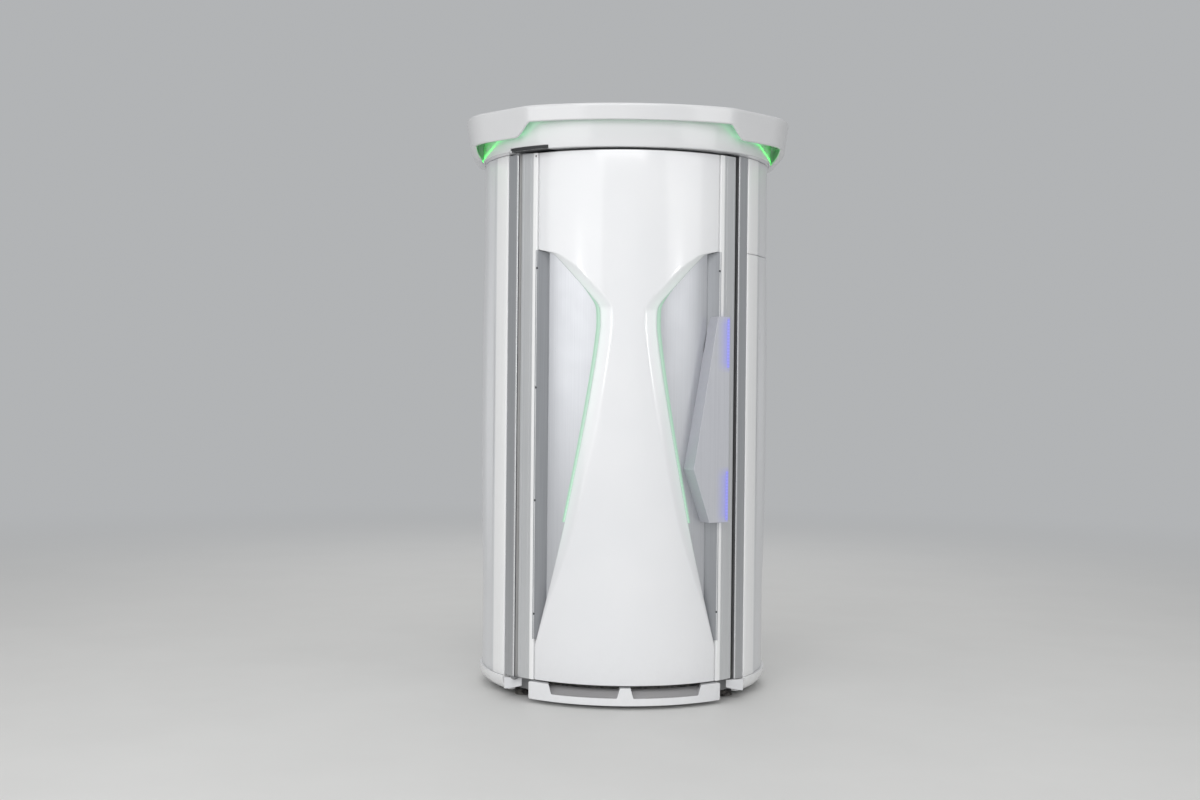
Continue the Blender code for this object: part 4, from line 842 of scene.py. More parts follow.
def makeDoorEdges():
    plan = doorEdges
    heights = (plan["bottom"], plan["top"])
    front, back, wall, ease, edge = (plan[key] for key in ("front", "back", "wall", "ease", "round"))
    start, end = plan["frame"]
    inset = math.degrees(wall / front)
    profile = [(back, start)] + arcPath(back, start + ease, end - ease, 1.0)
    profile += [(back + edge, end), (front - edge, end)]
    profile += groovedArc(front, start + ease, end - ease, plan["grooves"], plan["groove"])[::-1]
    profile += [(front - edge, start), (front - wall, start)]
    profile += arcPath(front - wall, start + ease, end - inset, 1.0)
    profile += arcPath(back + wall, end - inset, start, 1.0)
    start, end = plan["strip"]
    face, flat = front + plan["stripProud"], plan["stripFlat"]
    strip = [(plan["stripBack"], start), (plan["stripBack"], end)]
    strip += [(face - fall, end - gap) for fall, gap in plan["stripRound"]]
    strip += arcPath(face, end - flat, start + flat, 0.5)
    strip += [(face - fall, start + gap) for fall, gap in reversed(plan["stripRound"])]
    for side, sign in sides:
        putPiece(f"doorProfile_{side}", prismMesh(profile, heights, sign), "profileAlloy", "profile",
                 "door", "alloy", f"door_frame_{side}")
        putPiece(f"doorStrip_{side}", prismMesh(strip, heights, sign), "stripWhite", "shell",
                 "door", "gloss_white", f"door_trim_{side}")


makeSkin()
for side, sign in sides:
    makeInsert(side, sign)
    makeFlange(side, sign)
    makeLightLine(side, sign)
makeDoorEdges()
print("door front made")


# white side shells: flat front strip, scooped groove, swelling wing
sideShells = {
    "radius": 0.588, "inner": 0.578, "start": 54.36, "end": 149.94, "strip": 10.5, "groove": 4.0, "steep": 0.55,
    "wingTop": 1.770, "wingMiddle": 1.150, "wingBottom": 0.560, "bulge": 0.007, "scoop": 0.006, "leastScoop": 0.55,
    "slim": 0.5, "fade": 20.0, "ease": 0.0022, "easeShare": 0.3, "seam": 0.07, "crease": 0.0012,
    "rows": 64, "stripColumns": 6, "stripPoints": 8, "grooveColumns": 12, "wingColumns": 44, "backColumns": 30,
    "pieces": {
        "left_side_shell": (-1, 0.0827, 2.1493),
        "right_side_shell_lower": (1, 0.0827, 1.7690),
        "right_side_shell_upper": (1, 1.7710, 2.1493),
    },
}


def wingSwell(z):
    plan = sideShells
    above = z > plan["wingMiddle"]
    reach = plan["wingTop"] - plan["wingMiddle"] if above else plan["wingMiddle"] - plan["wingBottom"]
    swell = 1.0 - ((z - plan["wingMiddle"]) / reach) ** 2
    return max(swell, 0.0 if above else -plan["slim"])


def shellSection(z, drop):
    plan = sideShells
    radius, ease, start, end = (plan[key] for key in ("radius", "ease", "start", "end"))
    swell = wingSwell(z)
    scoop = plan["scoop"] * max(plan["leastScoop"], swell)
    stripEnd = start + plan["strip"]
    wingStart = stripEnd + 2 * plan["groove"]
    rim = math.degrees(ease / radius)
    early = plan["easeShare"]
    outer = [(radius - ease - drop, start), (radius - early * ease - drop, start + early * rim)]
    outer += [(radius - drop, angle) for angle in evenly(start + rim, stripEnd, plan["stripColumns"])]
    for share in evenly(0.0, 1.0, plan["grooveColumns"])[1:]:
        # steep into the groove, then out again onto the wing
        dip = scoop * math.sin(math.pi * min(1.0, share ** plan["steep"]))
        lift = plan["bulge"] * swell * eased(share)
        outer.append((radius - dip + lift - drop, stripEnd + 2 * plan["groove"] * share))
    for angle in evenly(wingStart, end - rim, plan["wingColumns"])[1:]:
        fade = eased(min(1.0, (end - angle) / plan["fade"]))
        outer.append((radius + plan["bulge"] * swell * fade - drop, angle))
    outer.append((radius - ease - drop, end))
    strip, wing = outer[:plan["stripPoints"]], outer[plan["stripPoints"]:]
    wing.insert(0, (strip[-1][0] - plan["crease"], strip[-1][1] + plan["seam"]))
    return [part + [(plan["inner"], angle) for angle in evenly(part[-1][1], part[0][1], plan["backColumns"])]
            for part in (strip, wing)]


def makeShells():
    ease, share = sideShells["ease"], sideShells["easeShare"]
    for node, (sign, low, high) in sideShells["pieces"].items():
        heights = [low, low + share * ease] + evenly(low + ease, high - ease, sideShells["rows"])
        heights += [high - share * ease, high]
        strip, wing = [], []
        for z in heights:
            drop = ease * max(0.0, 1.0 - min(z - low, high - z) / ease) ** 2
            for rings, part in zip((strip, wing), shellSection(z, drop)):
                rings.append([polarPoint(radius, sign * angle, z) for radius, angle in part])
        # painted shade: the wing of each shell takes a grey copy of the white, the strip stays white
        for rings, title, material in ((strip, "_strip", "stripWhite"), (wing, "_moulding", "shellPaintedShade")):
            putPiece(node + title, loftRings(rings), material, "shell", "cabin", "gloss_white", node)
    print("side shells made")


# canopy: drafted band with a stepped lower edge, cupped in under the sides, light line behind it
canopy = {
    "top": 2.310, "side": 0.660, "front": 0.640, "arcRadius": 1.0, "chamferHalf": 0.570, "arcHalf": 0.400,
    "stepHalf": 0.455, "stepEase": 0.35, "sideStart": 0.140, "draft": 0.150, "wall": 0.012, "edge": 0.010,
    "edgeLean": 0.8, "lip": 0.008, "lipEdge": 0.002, "rim": 0.001,
    "cupStart": 0.5, "curl": 0.030, "frontLow": 2.2485, "chamferLow": 2.196, "sideLow": 2.158, "reach": 0.5975,
    "cornerEase": 3, "arcSteps": 26, "stepSteps": 6, "chamferSteps": 8, "cornerSteps": 20, "sideSteps": 6,
    "topSteps": 6, "faceSteps": 4, "footSteps": 7,
    "light": {"rise": 0.002, "width": 0.006, "height": 0.008, "gap": 0.0005, "edge": 0.002},
    "fascia": {"across": 0.597, "along": 0.600, "power": 2.3, "wall": 0.006, "low": 2.151, "high": 2.2975,
               "foot": ((0.003, 0.0), (0.0008, 0.0008), (0.0, 0.003)), "rows": (2.19, 2.24), "stations": 200,
               "slot": (-48.45, -30.45), "slotHeight": 0.013, "slotClear": 0.012, "slotStep": 0.0006},
}


def capQuarter():
    plan = canopy
    points = []
    for x in evenly(0.0, plan["arcHalf"], plan["arcSteps"]):
        sag = plan["arcRadius"] - math.sqrt(plan["arcRadius"] ** 2 - x ** 2)
        points.append((x, sag - plan["front"], plan["frontLow"], 0.0))
    arcEnd = points[-1][1]
    for t in evenly(0.0, 1.0, plan["stepSteps"])[1:]:
        x = between(plan["arcHalf"], plan["stepHalf"], t)
        fall = eased(t) * plan["stepEase"] + t * (1.0 - plan["stepEase"])
        points.append((x, arcEnd + x - plan["arcHalf"], between(plan["frontLow"], plan["chamferLow"], fall), 0.0))
    corner = arcEnd + plan["chamferHalf"] - plan["arcHalf"]
    for t in evenly(0.0, 1.0, plan["chamferSteps"])[1:]:
        x = between(plan["stepHalf"], plan["chamferHalf"], t)
        points.append((x, arcEnd + x - plan["arcHalf"], plan["chamferLow"], 0.0))
    control = corner + plan["side"] - plan["chamferHalf"]
    for t in evenly(0.0, 1.0, plan["cornerSteps"])[1:]:
        x = plan["side"] - (plan["side"] - plan["chamferHalf"]) * (1.0 - t) ** 2
        y = corner * (1.0 - t) ** 2 + 2.0 * control * t * (1.0 - t) - plan["sideStart"] * t ** 2
        cup = max(0.0, (t - plan["cupStart"]) / (1.0 - plan["cupStart"]))
        points.append((x, y, between(plan["chamferLow"], plan["sideLow"], cup), cup))
    for t in evenly(0.0, 1.0, plan["sideSteps"])[1:]:
        points.append((plan["side"], -plan["sideStart"] * (1.0 - t), plan["sideLow"], 1.0))
    return points


def capStations():
    quarter = capQuarter()
    right = quarter + [(x, -y, low, cup) for x, y, low, cup in reversed(quarter[:-1])]
    loop = right + [(-x, y, low, cup) for x, y, low, cup in reversed(right[1:-1])]

    def neighbours():
        return zip(loop[-1:] + loop[:-1], loop, loop[1:] + loop[:1])

    for _ in range(canopy["cornerEase"]):
        loop = [((before[0] + 2 * x + after[0]) / 4, (before[1] + 2 * y + after[1]) / 4, low, cup)
                for before, (x, y, low, cup), after in neighbours()]
    stations = []
    for before, (x, y, low, cup), after in neighbours():
        run = Vector((after[0] - before[0], after[1] - before[1])).normalized()
        stations.append((x, y, run.y, -run.x, low, cup))
    return stations


def capPoint(station, inset, z):
    return (station[0] - station[2] * inset, station[1] - station[3] * inset, z)


def capDraft(z):
    return canopy["draft"] * (canopy["top"] - z)


def bandSection(low, cup):
    plan = canopy
    top, edge, wall, lipWall, cut, rim = (plan[key] for key in ("top", "edge", "wall", "lip", "lipEdge", "rim"))
    lip = plan["side"] - capDraft(plan["sideLow"]) - wall - plan["reach"]
    section = []
    for turn in evenly(0.0, 90.0, plan["topSteps"]):        # rounded top edge
        a = math.radians(turn)
        lean = edge * (1.0 - math.sin(a)) * plan["edgeLean"] + capDraft(top - edge) * math.sin(a)
        section.append((lean, top - edge * (1.0 - math.cos(a))))
    curl = edge / 2 + plan["curl"] * cup
    section += [(capDraft(z), z) for z in evenly(top - edge, low + curl, plan["faceSteps"])[1:]]
    foot = capDraft(low + curl)
    for turn in evenly(0.0, 90.0, plan["footSteps"])[1:]:   # rounded lower edge, a wide curl under the sides
        a = math.radians(turn)
        under = between(foot, capDraft(low) + curl, 1.0 - math.cos(a))
        section.append((under, low + curl * (1.0 - math.sin(a))))
    inner = capDraft(low) + wall + lip * cup
    section += [(inner - cut, low), (inner, low + cut), (inner, low + lipWall - cut), (inner - cut, low + lipWall)]
    section += [(capDraft(low + 2 * lipWall) + wall, low + 2 * lipWall), (wall + edge / 4, top - rim),
                (wall + edge / 4 - rim, top)]
    return section


def lineSection(low):
    light = canopy["light"]
    start = low + 2 * canopy["lip"] + light["rise"]
    near = capDraft(start) + canopy["wall"] + light["gap"]
    far, end, cut = near + light["width"], start + light["height"], light["edge"]
    return [(near, start), (far - cut, start), (far, start + cut), (far, end - cut), (far - cut, end), (near, end)]


def makeBand():
    rings, lines = [], []
    for station in capStations():
        low, cup = station[4:]
        rings.append([capPoint(station, inset, z) for inset, z in bandSection(low, cup)])
        lines.append([capPoint(station, inset, z) for inset, z in lineSection(low)])
    # painted shade: the band takes a darker copy of the gloss white
    putPiece("canopyBandShell", loftRings(rings, closed=True), "canopyWhitePaintedShade", "band",
             "cabin", "gloss_white", "canopy_band")
    putPiece("canopyLightLine", loftRings(lines, closed=True), "mintLight", "soft",
             "cabin", "green_light", "canopy_light")


def fasciaPoint(turn, inset, z):
    # point of a rounded square
    plan = canopy["fascia"]
    x, y = (math.copysign(abs(share) ** (2.0 / plan["power"]), share) * (reach - inset)
            for share, reach in ((math.cos(turn), plan["across"]), (math.sin(turn), plan["along"])))
    return (x, y, z)


def fasciaRing(turn, raised):
    plan = canopy["fascia"]
    low = plan["low"] + (plan["slotHeight"] if raised else 0.0)
    section = [(inset, low + rise) for inset, rise in plan["foot"]]
    section += [(0.0, z) for z in (*plan["rows"], plan["high"])]
    section += [(plan["wall"], plan["high"]), (plan["wall"], low)]
    return [fasciaPoint(turn, inset, z) for inset, z in section]


def fasciaTurn(bearing):
    # parameter of the rounded square at a bearing from the front
    plan = canopy["fascia"]
    side, front = math.sin(math.radians(bearing)), -math.cos(math.radians(bearing))
    along = math.copysign(abs(front / plan["along"]) ** (plan["power"] / 2), front)
    across = math.copysign(abs(side / plan["across"]) ** (plan["power"] / 2), side)
    return math.atan2(along, across) % (2.0 * math.pi)


def makeFascia():
    plan = canopy["fascia"]
    start, end = sorted(fasciaTurn(bearing) for bearing in plan["slot"])
    turns = [2.0 * math.pi * (i + 0.5) / plan["stations"] for i in range(plan["stations"])]
    stations = [(turn, start < turn < end) for turn in turns
                if min(abs(turn - start), abs(turn - end)) > plan["slotClear"]]
    for turn, step in ((start, plan["slotStep"]), (end, -plan["slotStep"])):
        stations += [(turn - step, False), (turn + step, True)]
    rings = [fasciaRing(*station) for station in sorted(stations)]
    # painted shade: the fascia takes a darker copy of the gloss white
    putPiece("canopyFasciaShell", loftRings(rings, closed=True), "canopyWhitePaintedShade", "shell",
             "cabin", "gloss_white", "canopy_fascia")


makeShells()
makeBand()
makeFascia()
print("canopy made")


# Geometry Nodes trees: each one takes points and grows the repeated part on them
def newTree(name, sizes, materials):
    tree = bpy.data.node_groups.new(name, "GeometryNodeTree")
    face = tree.interface
    face.new_socket(name="Geometry", in_out="INPUT", socket_type="NodeSocketGeometry")
    for title, value in sizes.items():
        face.new_socket(name=title, in_out="INPUT", socket_type="NodeSocketFloat").default_value = value
    for title in materials:
        face.new_socket(name=title, in_out="INPUT", socket_type="NodeSocketMaterial")
    face.new_socket(name="Geometry", in_out="OUTPUT", socket_type="NodeSocketGeometry")
    return tree, tree.nodes.new("NodeGroupInput").outputs


def growPiece(name, points, facings, tree, values, *place):
    seed = bpy.data.meshes.new(name)
    seed.from_pydata(points, [], [])
    layer = seed.attributes.new("facing", "FLOAT_VECTOR", "POINT")
    layer.data.foreach_set("vector", [value for facing in facings for value in facing])
    piece = bpy.data.objects.new(name, seed)
    bpy.context.collection.objects.link(piece)
    grow = piece.modifiers.new("grow", "NODES")
    grow.node_group = tree
    for item in tree.interface.items_tree:
        if item.item_type == "SOCKET" and item.in_out == "INPUT" and item.name in values:
            grow[item.identifier] = values[item.name]
    mount(shade(settle(piece), "grown"), *place)


def closeTree(tree, given, shape, material=None):
    # instances stand on the points, turned to their facing, then become real mesh
    facing = addNode(tree, "GeometryNodeInputNamedAttribute", data_type="FLOAT_VECTOR", Name="facing")
    turn = addNode(tree, "FunctionNodeAlignRotationToVector", axis="Z", Vector=facing.outputs["Attribute"])
    place = addNode(tree, "GeometryNodeInstanceOnPoints", Points=given["Geometry"], Instance=shape,
                    Rotation=turn.outputs["Rotation"])
    last = addNode(tree, "GeometryNodeRealizeInstances", Geometry=place.outputs["Instances"])
    if material:
        last = addNode(tree, "GeometryNodeSetMaterial", Geometry=last.outputs["Geometry"],
                       Material=given[material])
    addNode(tree, "NodeGroupOutput", Geometry=last.outputs["Geometry"])
    return tree


def screwTree():
    # button head with a hexagon socket
    tree, given = newTree(
        "buttonScrew", {"Head Radius": 0.0045, "Head Height": 0.0022, "Socket Radius": 0.0022}, ("Metal",))
    radius, height = given["Head Radius"], given["Head Height"]
    crown = maths(tree, "MULTIPLY", radius, 0.72)   # the head narrows to this share
    head = addNode(tree, "GeometryNodeMeshCone", Vertices=20, Depth=height,
                   **{"Radius Bottom": radius, "Radius Top": crown})
    hexagon = addNode(tree, "GeometryNodeMeshCylinder", Vertices=6, Radius=given["Socket Radius"], Depth=height)
    rise = addNode(tree, "ShaderNodeCombineXYZ", Z=height)
    lift = addNode(tree, "GeometryNodeTransform", Geometry=hexagon.outputs["Mesh"], Translation=rise.outputs[0])
    bore = addNode(tree, "GeometryNodeMeshBoolean", operation="DIFFERENCE",
                   **{"Mesh 1": head.outputs["Mesh"], "Mesh 2": lift.outputs["Geometry"]})
    return closeTree(tree, given, bore.outputs["Mesh"], "Metal")


def lampTree():
    # glass tube with an alloy cap at each end
    tree, given = newTree(
        "lampTube", {"Tube Radius": 0.0185, "Tube Length": 1.9, "Cap Length": 0.022, "Cap Radius": 0.0192},
        ("Glass", "Cap"))
    gather = addNode(tree, "GeometryNodeJoinGeometry")

    def addPart(shape, material):
        paint = addNode(tree, "GeometryNodeSetMaterial", Geometry=shape, Material=given[material])
        tree.links.new(paint.outputs["Geometry"], gather.inputs["Geometry"])

    for end in (-0.5, 0.5):
        cap = addNode(tree, "GeometryNodeMeshCylinder", Vertices=24, Radius=given["Cap Radius"],
                      Depth=given["Cap Length"])
        away = addNode(tree, "ShaderNodeCombineXYZ", Z=maths(tree, "MULTIPLY", given["Tube Length"], end))
        move = addNode(tree, "GeometryNodeTransform", Geometry=cap.outputs["Mesh"], Translation=away.outputs[0])
        addPart(move.outputs["Geometry"], "Cap")
    tube = addNode(tree, "GeometryNodeMeshCylinder", Vertices=24, Radius=given["Tube Radius"],
                   Depth=given["Tube Length"])
    addPart(tube.outputs["Mesh"], "Glass")
    return closeTree(tree, given, gather.outputs["Geometry"])


def studTree():
    # low six-sided studs of the standing mat
    tree, given = newTree("matStud", {"Foot": 0.0052, "Head": 0.0036, "Rise": 0.0012}, ("Mat",))
    stud = addNode(tree, "GeometryNodeMeshCone", Vertices=6, Depth=given["Rise"],
                   **{"Radius Bottom": given["Foot"], "Radius Top": given["Head"]})
    return closeTree(tree, given, stud.outputs["Mesh"], "Mat")


def hoodTree():
    # louvre hood: a small curved section carried round an arc above its slot
    tree, given = newTree("louvreHood", {"Reach": 0.588, "Sweep": 0.628, "Lip": 0.007}, ("Skin",))
    over = 0.35   # the section goes this far beyond a half turn at each end
    start = maths(tree, "MULTIPLY_ADD", given["Sweep"], -0.5, math.pi / 2)
    path = addNode(tree, "GeometryNodeCurveArc", Resolution=40, Radius=given["Reach"],
                   **{"Start Angle": start, "Sweep Angle": given["Sweep"]})
    section = addNode(tree, "GeometryNodeCurveArc", Resolution=9, Radius=given["Lip"],
                      **{"Start Angle": -over, "Sweep Angle": math.pi + 2 * over})
    hood = addNode(tree, "GeometryNodeCurveToMesh", Curve=path.outputs["Curve"],
                   **{"Profile Curve": section.outputs["Curve"], "Fill Caps": True})
    return closeTree(tree, given, hood.outputs["Mesh"], "Skin")


# lamp banks: tubes on a circle between curved holder rails
lampBanks = {
    "circle": 0.505, "pitch": 6.2, "low": 0.1305, "high": 2.1015, "play": 0.006, "holder": 0.025,
    "railInner": 0.484, "railOuter": 0.5406, "railStep": 2.0, "railEdge": 0.002, "railSharp": 50.0,
    "banks": {"door_lamp_bank": (-39.69, 39.69, "door"), "left_lamp_bank": (-54.8, -167.7, "cabin"),
              "right_lamp_bank": (54.8, 167.7, "cabin")},
}


def makeLamps():
    plan = lampBanks
    tree = lampTree()
    pitch, holder, step = plan["pitch"], plan["holder"], plan["railStep"]
    middle = (plan["low"] + plan["high"]) / 2
    values = {"Tube Length": plan["high"] - plan["low"] - 2 * holder - plan["play"],
              "Glass": finish["roseGlass"], "Cap": finish["alloy"]}
    for node, (start, end, body) in plan["banks"].items():
        count = math.floor((abs(end - start) - pitch) / pitch) + 1
        first = (start + end) / 2 - pitch * (count - 1) / 2
        points = [polarPoint(plan["circle"], first + pitch * i, middle) for i in range(count)]
        growPiece(node + "_tubes", points, [upward] * count, tree, values, body, "lamp_glass", node)
        section = arcPath(plan["railInner"], start, end, step) + arcPath(plan["railOuter"], end, start, step)
        for title, low in (("lower", plan["low"]), ("upper", plan["high"] - holder)):
            rail = newPiece(f"{node}_{title}Holder", prismMesh(section, (low, low + holder)), "darkPlastic")
            mount(soften(rail, plan["railEdge"], plan["railSharp"]), body, "dark_plastic")
    print("lamp banks made")


# turned parts: outline of radius and height, spun about an axis
def lathe(count, outline, origin, axis):
    ahead = Vector(axis).normalized()
    aside = ahead.orthogonal().normalized()
    across = ahead.cross(aside)
    mesh = bmesh.new()
    loops = []
    for i in range(count):
        turn = 2.0 * math.pi * i / count
        spoke = aside * math.cos(turn) + across * math.sin(turn)
        loops.append([mesh.verts.new(Vector(origin) + ahead * height + spoke * radius)
                      for radius, height in outline])
    for near, far in zip(loops, loops[1:] + loops[:1]):
        for i in range(len(near) - 1):
            mesh.faces.new((near[i], far[i], far[i + 1], near[i + 1]))
    bmesh.ops.remove_doubles(mesh, verts=mesh.verts, dist=1e-6)
    bmesh.ops.recalc_face_normals(mesh, faces=mesh.faces)
    return mesh


def putTurned(name, turned, spot, axis, material, *place):
    putPiece(name, lathe(*turned, spot, axis), material, "usual", *place)


panelFace = 0.4325    # front of the control panel, along +Y

# levelling feet, mains gland and push buttons: count of sides, then radius and height of each point
smallParts = {
    "feet": {"front_left": -54.0, "front_right": 54.0, "rear_left": -135.0, "rear_right": 135.0},
    "footCircle": 0.500, "glandPlace": (0.0, 0.5886, 0.170), "buttonProud": 0.006, "buttonLevel": 1.270,
    "buttons": {"start": (-0.028, "startGreen", "start_green"), "stop": (0.028, "stopRed", "stop_red")},
    "pad": (40, ((0.0, 0.0), (0.0295, 0.0), (0.0315, 0.0015), (0.032, 0.004), (0.0312, 0.0055), (0.0318, 0.007),
                 (0.030, 0.0095), (0.020, 0.0135), (0.0165, 0.0165), (0.0165, 0.0195), (0.0, 0.0195))),
    "stem": (24, ((0.0, 0.0193), (0.0115, 0.0193), (0.012, 0.0205), (0.0105, 0.0218), (0.012, 0.0231),
                  (0.0105, 0.0244), (0.012, 0.0257), (0.0105, 0.027), (0.012, 0.0283), (0.0105, 0.0296),
                  (0.012, 0.0309), (0.0105, 0.0322), (0.012, 0.034), (0.012, 0.069), (0.0, 0.069))),
    "gland": (36, ((0.006, 0.0), (0.0135, 0.0), (0.014, 0.0006), (0.014, 0.0055), (0.0128, 0.0062),
                   (0.0128, 0.0075), (0.0135, 0.0085), (0.0135, 0.0140), (0.0118, 0.0170), (0.0090, 0.0192),
                   (0.0066, 0.0199), (0.006, 0.0195), (0.006, 0.0))),
    "button": (40, ((0.0, 0.0), (0.0060, 0.0003), (0.0115, 0.0012), (0.0140, 0.0027), (0.0149, 0.0050),
                    (0.0149, 0.018), (0.0, 0.018))),
    "bezel": (40, ((0.0157, 0.0002), (0.0160, -0.0020), (0.0175, -0.0028), (0.0195, -0.0022), (0.0205, 0.0002),
                   (0.0157, 0.0002))),
}


def makeSmallParts():
    plan = smallParts
    for place, angle in plan["feet"].items():
        spot = polarPoint(plan["footCircle"], angle, 0.0)
        putTurned(f"foot_{place}_pad", plan["pad"], spot, upward, "softRubber", "cabin", "rubber", f"foot_{place}")
        putTurned(f"foot_{place}_stem", plan["stem"], spot, upward, "hingeSteel", "cabin", "steel")
    putTurned("mainsGlandTurned", plan["gland"], plan["glandPlace"], rearward, "darkPlastic",
              "cabin", "dark_plastic", "mains_gland")
    for name, (x, colour, slot) in plan["buttons"].items():
        front = (x, panelFace - plan["buttonProud"], plan["buttonLevel"])
        putTurned(f"{name}ButtonCap", plan["button"], front, rearward, colour, name, slot, f"{name}_button")
        seat = (x, panelFace, plan["buttonLevel"])
        putTurned(f"{name}ButtonBezel", plan["bezel"], seat, rearward, "alloy", "cabin", "alloy")
    print("feet, gland and buttons made")


# screws: where each sits and which way it faces
screwPlan = {
    "doorLeft": (1.695, 1.230, 0.790, 0.347), "doorRight": (1.690, 0.360), "doorAngle": 37.60,
    "doorRadius": 0.5846, "coverAngles": (151.6, -151.6), "coverRadius": 0.588,
    "coverHeights": (0.16, 0.54, 0.92, 1.30, 1.68, 2.06), "panelX": 0.052, "panelHeights": (1.188, 1.452),
    "lidRadius": 0.555, "lidHeight": 2.304, "lidCount": 10, "lidTurn": 0.5,
    "grilleRadius": 0.183, "ceilingFace": 2.1457, "grilleCount": 6, "grilleTurn": 0.25,
}


def makeScrews():
    plan = screwPlan
    tree = screwTree()

    def column(radius, angle, heights):
        return [(polarPoint(radius, angle, z), polarPoint(1.0, angle, 0.0)) for z in heights]

    def circle(radius, z, count, offset, facing):
        return [(polarPoint(radius, 360.0 * (i + offset) / count, z), facing) for i in range(count)]

    door = column(plan["doorRadius"], -plan["doorAngle"], plan["doorLeft"])
    door += column(plan["doorRadius"], plan["doorAngle"], plan["doorRight"])
    cabin = []
    for angle in plan["coverAngles"]:
        cabin += column(plan["coverRadius"], angle, plan["coverHeights"])
    cabin += circle(plan["lidRadius"], plan["lidHeight"], plan["lidCount"], plan["lidTurn"], upward)
    for x in (-plan["panelX"], plan["panelX"]):
        cabin += [((x, panelFace, z), (0.0, -1.0, 0.0)) for z in plan["panelHeights"]]
    cabin += circle(plan["grilleRadius"], plan["ceilingFace"], plan["grilleCount"], plan["grilleTurn"],
                    (0.0, 0.0, -1.0))
    for body, seats, metal in (("door", door, "darkPlastic"), ("cabin", cabin, "screwSteel")):
        growPiece(body + "Screws", *zip(*seats), tree, {"Metal": finish[metal]}, body, "steel")
    print("screws:", len(door) + len(cabin))


# standing mat studs and the hoods over the rear louvres
matPlan = {"reach": 0.432, "pitch": 0.029, "top": 0.0922, "rowShare": 0.866, "spare": 1.16}
hoodPlan = {"rows": (0.300, 1.750), "count": 4, "pitch": 0.030, "slot": 0.010, "sweep": 38.0, "reach": 0.5865,
            "lip": 0.0075}


def makeStuds():
    plan = matPlan
    points = []
    rows = int(plan["reach"] / plan["pitch"] * plan["spare"]) + 1
    for row in range(-rows, rows + 1):
        for column in range(-rows, rows + 1):
            x = (column + 0.5 * (row % 2)) * plan["pitch"]
            y = row * plan["pitch"] * plan["rowShare"]
            if math.hypot(x, y) < plan["reach"]:
                points.append((x, y, plan["top"]))
    growPiece("standingMatStuds", points, [upward] * len(points), studTree(), {"Mat": finish["treadMat"]},
              "cabin", "rubber")
    print("studs:", len(points))


def makeHoods():
    plan = hoodPlan
    levels = [(0.0, 0.0, row + plan["pitch"] * i + plan["slot"])
              for row in plan["rows"] for i in range(plan["count"])]
    values = {"Reach": plan["reach"], "Sweep": math.radians(plan["sweep"]), "Lip": plan["lip"],
              "Skin": finish["glossWhite"]}
    growPiece("rearLouvreHoods", levels, [upward] * len(levels), hoodTree(), values, "cabin", "gloss_white")
    print("hoods:", len(levels))


makeLamps()
makeSmallParts()
makeScrews()
makeStuds()
makeHoods()


# bright beads on the posts, grey gasket in the hinge gap
postTrim = {
    "bead": (48.02, 48.95), "beadFront": 0.5862, "beadBack": 0.5752, "beadEdge": 0.0012, "beadFall": 0.0008,
    "beadCrown": 0.00072, "beadSpan": (0.06, 0.94), "beadSteps": 6, "beadEnds": (0.0865, 2.1455),
    "gasket": (-47.85, -46.1), "gasketFront": 0.5785, "gasketBack": 0.556, "gasketEnds": (0.0830, 2.1490),
    "ribs": 3, "ribSteps": 4, "ribDepth": 0.0018, "ribSpan": 0.6,
}


def makePostTrim():
    plan = postTrim
    start, end = plan["bead"]
    front, back = plan["beadFront"], plan["beadBack"]
    section = [(back, start), (back, end), (front - plan["beadEdge"], end)]
    for share in evenly(1.0, 0.0, plan["beadSteps"]):
        crown = plan["beadCrown"] * math.sin(math.pi * share)
        section.append((front - plan["beadFall"] + crown, between(start, end, between(*plan["beadSpan"], share))))
    section.append((front - plan["beadEdge"], start))
    for side, sign in sides:
        putPiece(f"postBead_{side}", prismMesh(section, plan["beadEnds"], sign), "polishedBead", "soft",
                 "cabin", "alloy")
    start, end = plan["gasket"]
    section = [(plan["gasketBack"], end), (plan["gasketBack"], start)]
    for share in evenly(0.0, 1.0, plan["ribs"] * plan["ribSteps"]):
        rib = plan["ribDepth"] * math.cos(2.0 * math.pi * plan["ribs"] * share)
        section.append((plan["gasketFront"] + rib, between(start, end, share * plan["ribSpan"])))
    putPiece("hingeGapGasket", prismMesh(section, plan["gasketEnds"]), "greyRubber", "soft", "cabin", "rubber")


# sloping liners that turn each intake scoop up towards its filter
scoopLiner = {"inner": 0.0215, "outer": 0.2945, "floor": 0.0455, "rise": 0.0705, "front": 0.5955, "back": 0.5400,
              "wall": 0.002, "columns": 24, "rows": 8}


def makeScoopLiners():
    plan = scoopLiner
    for side, sign in sides:
        rings = []
        for x in evenly(plan["inner"], plan["outer"], plan["columns"]):
            section = []
            for t in evenly(0.0, 1.0, plan["rows"]):
                reach = between(plan["front"], plan["back"], t)
                z = between(plan["floor"], plan["rise"], eased(t))
                section.append((sign * x, -math.sqrt(reach ** 2 - x ** 2), z))
            rings.append(section + [(across, y, z - plan["wall"]) for across, y, z in reversed(section)])
        # painted shade: the liners are grey where the scoops lie in shadow
        putPiece(f"scoopLiner_{side}", loftRings(rings), "scoopPaintedShade", "soft", "cabin", "gloss_white")


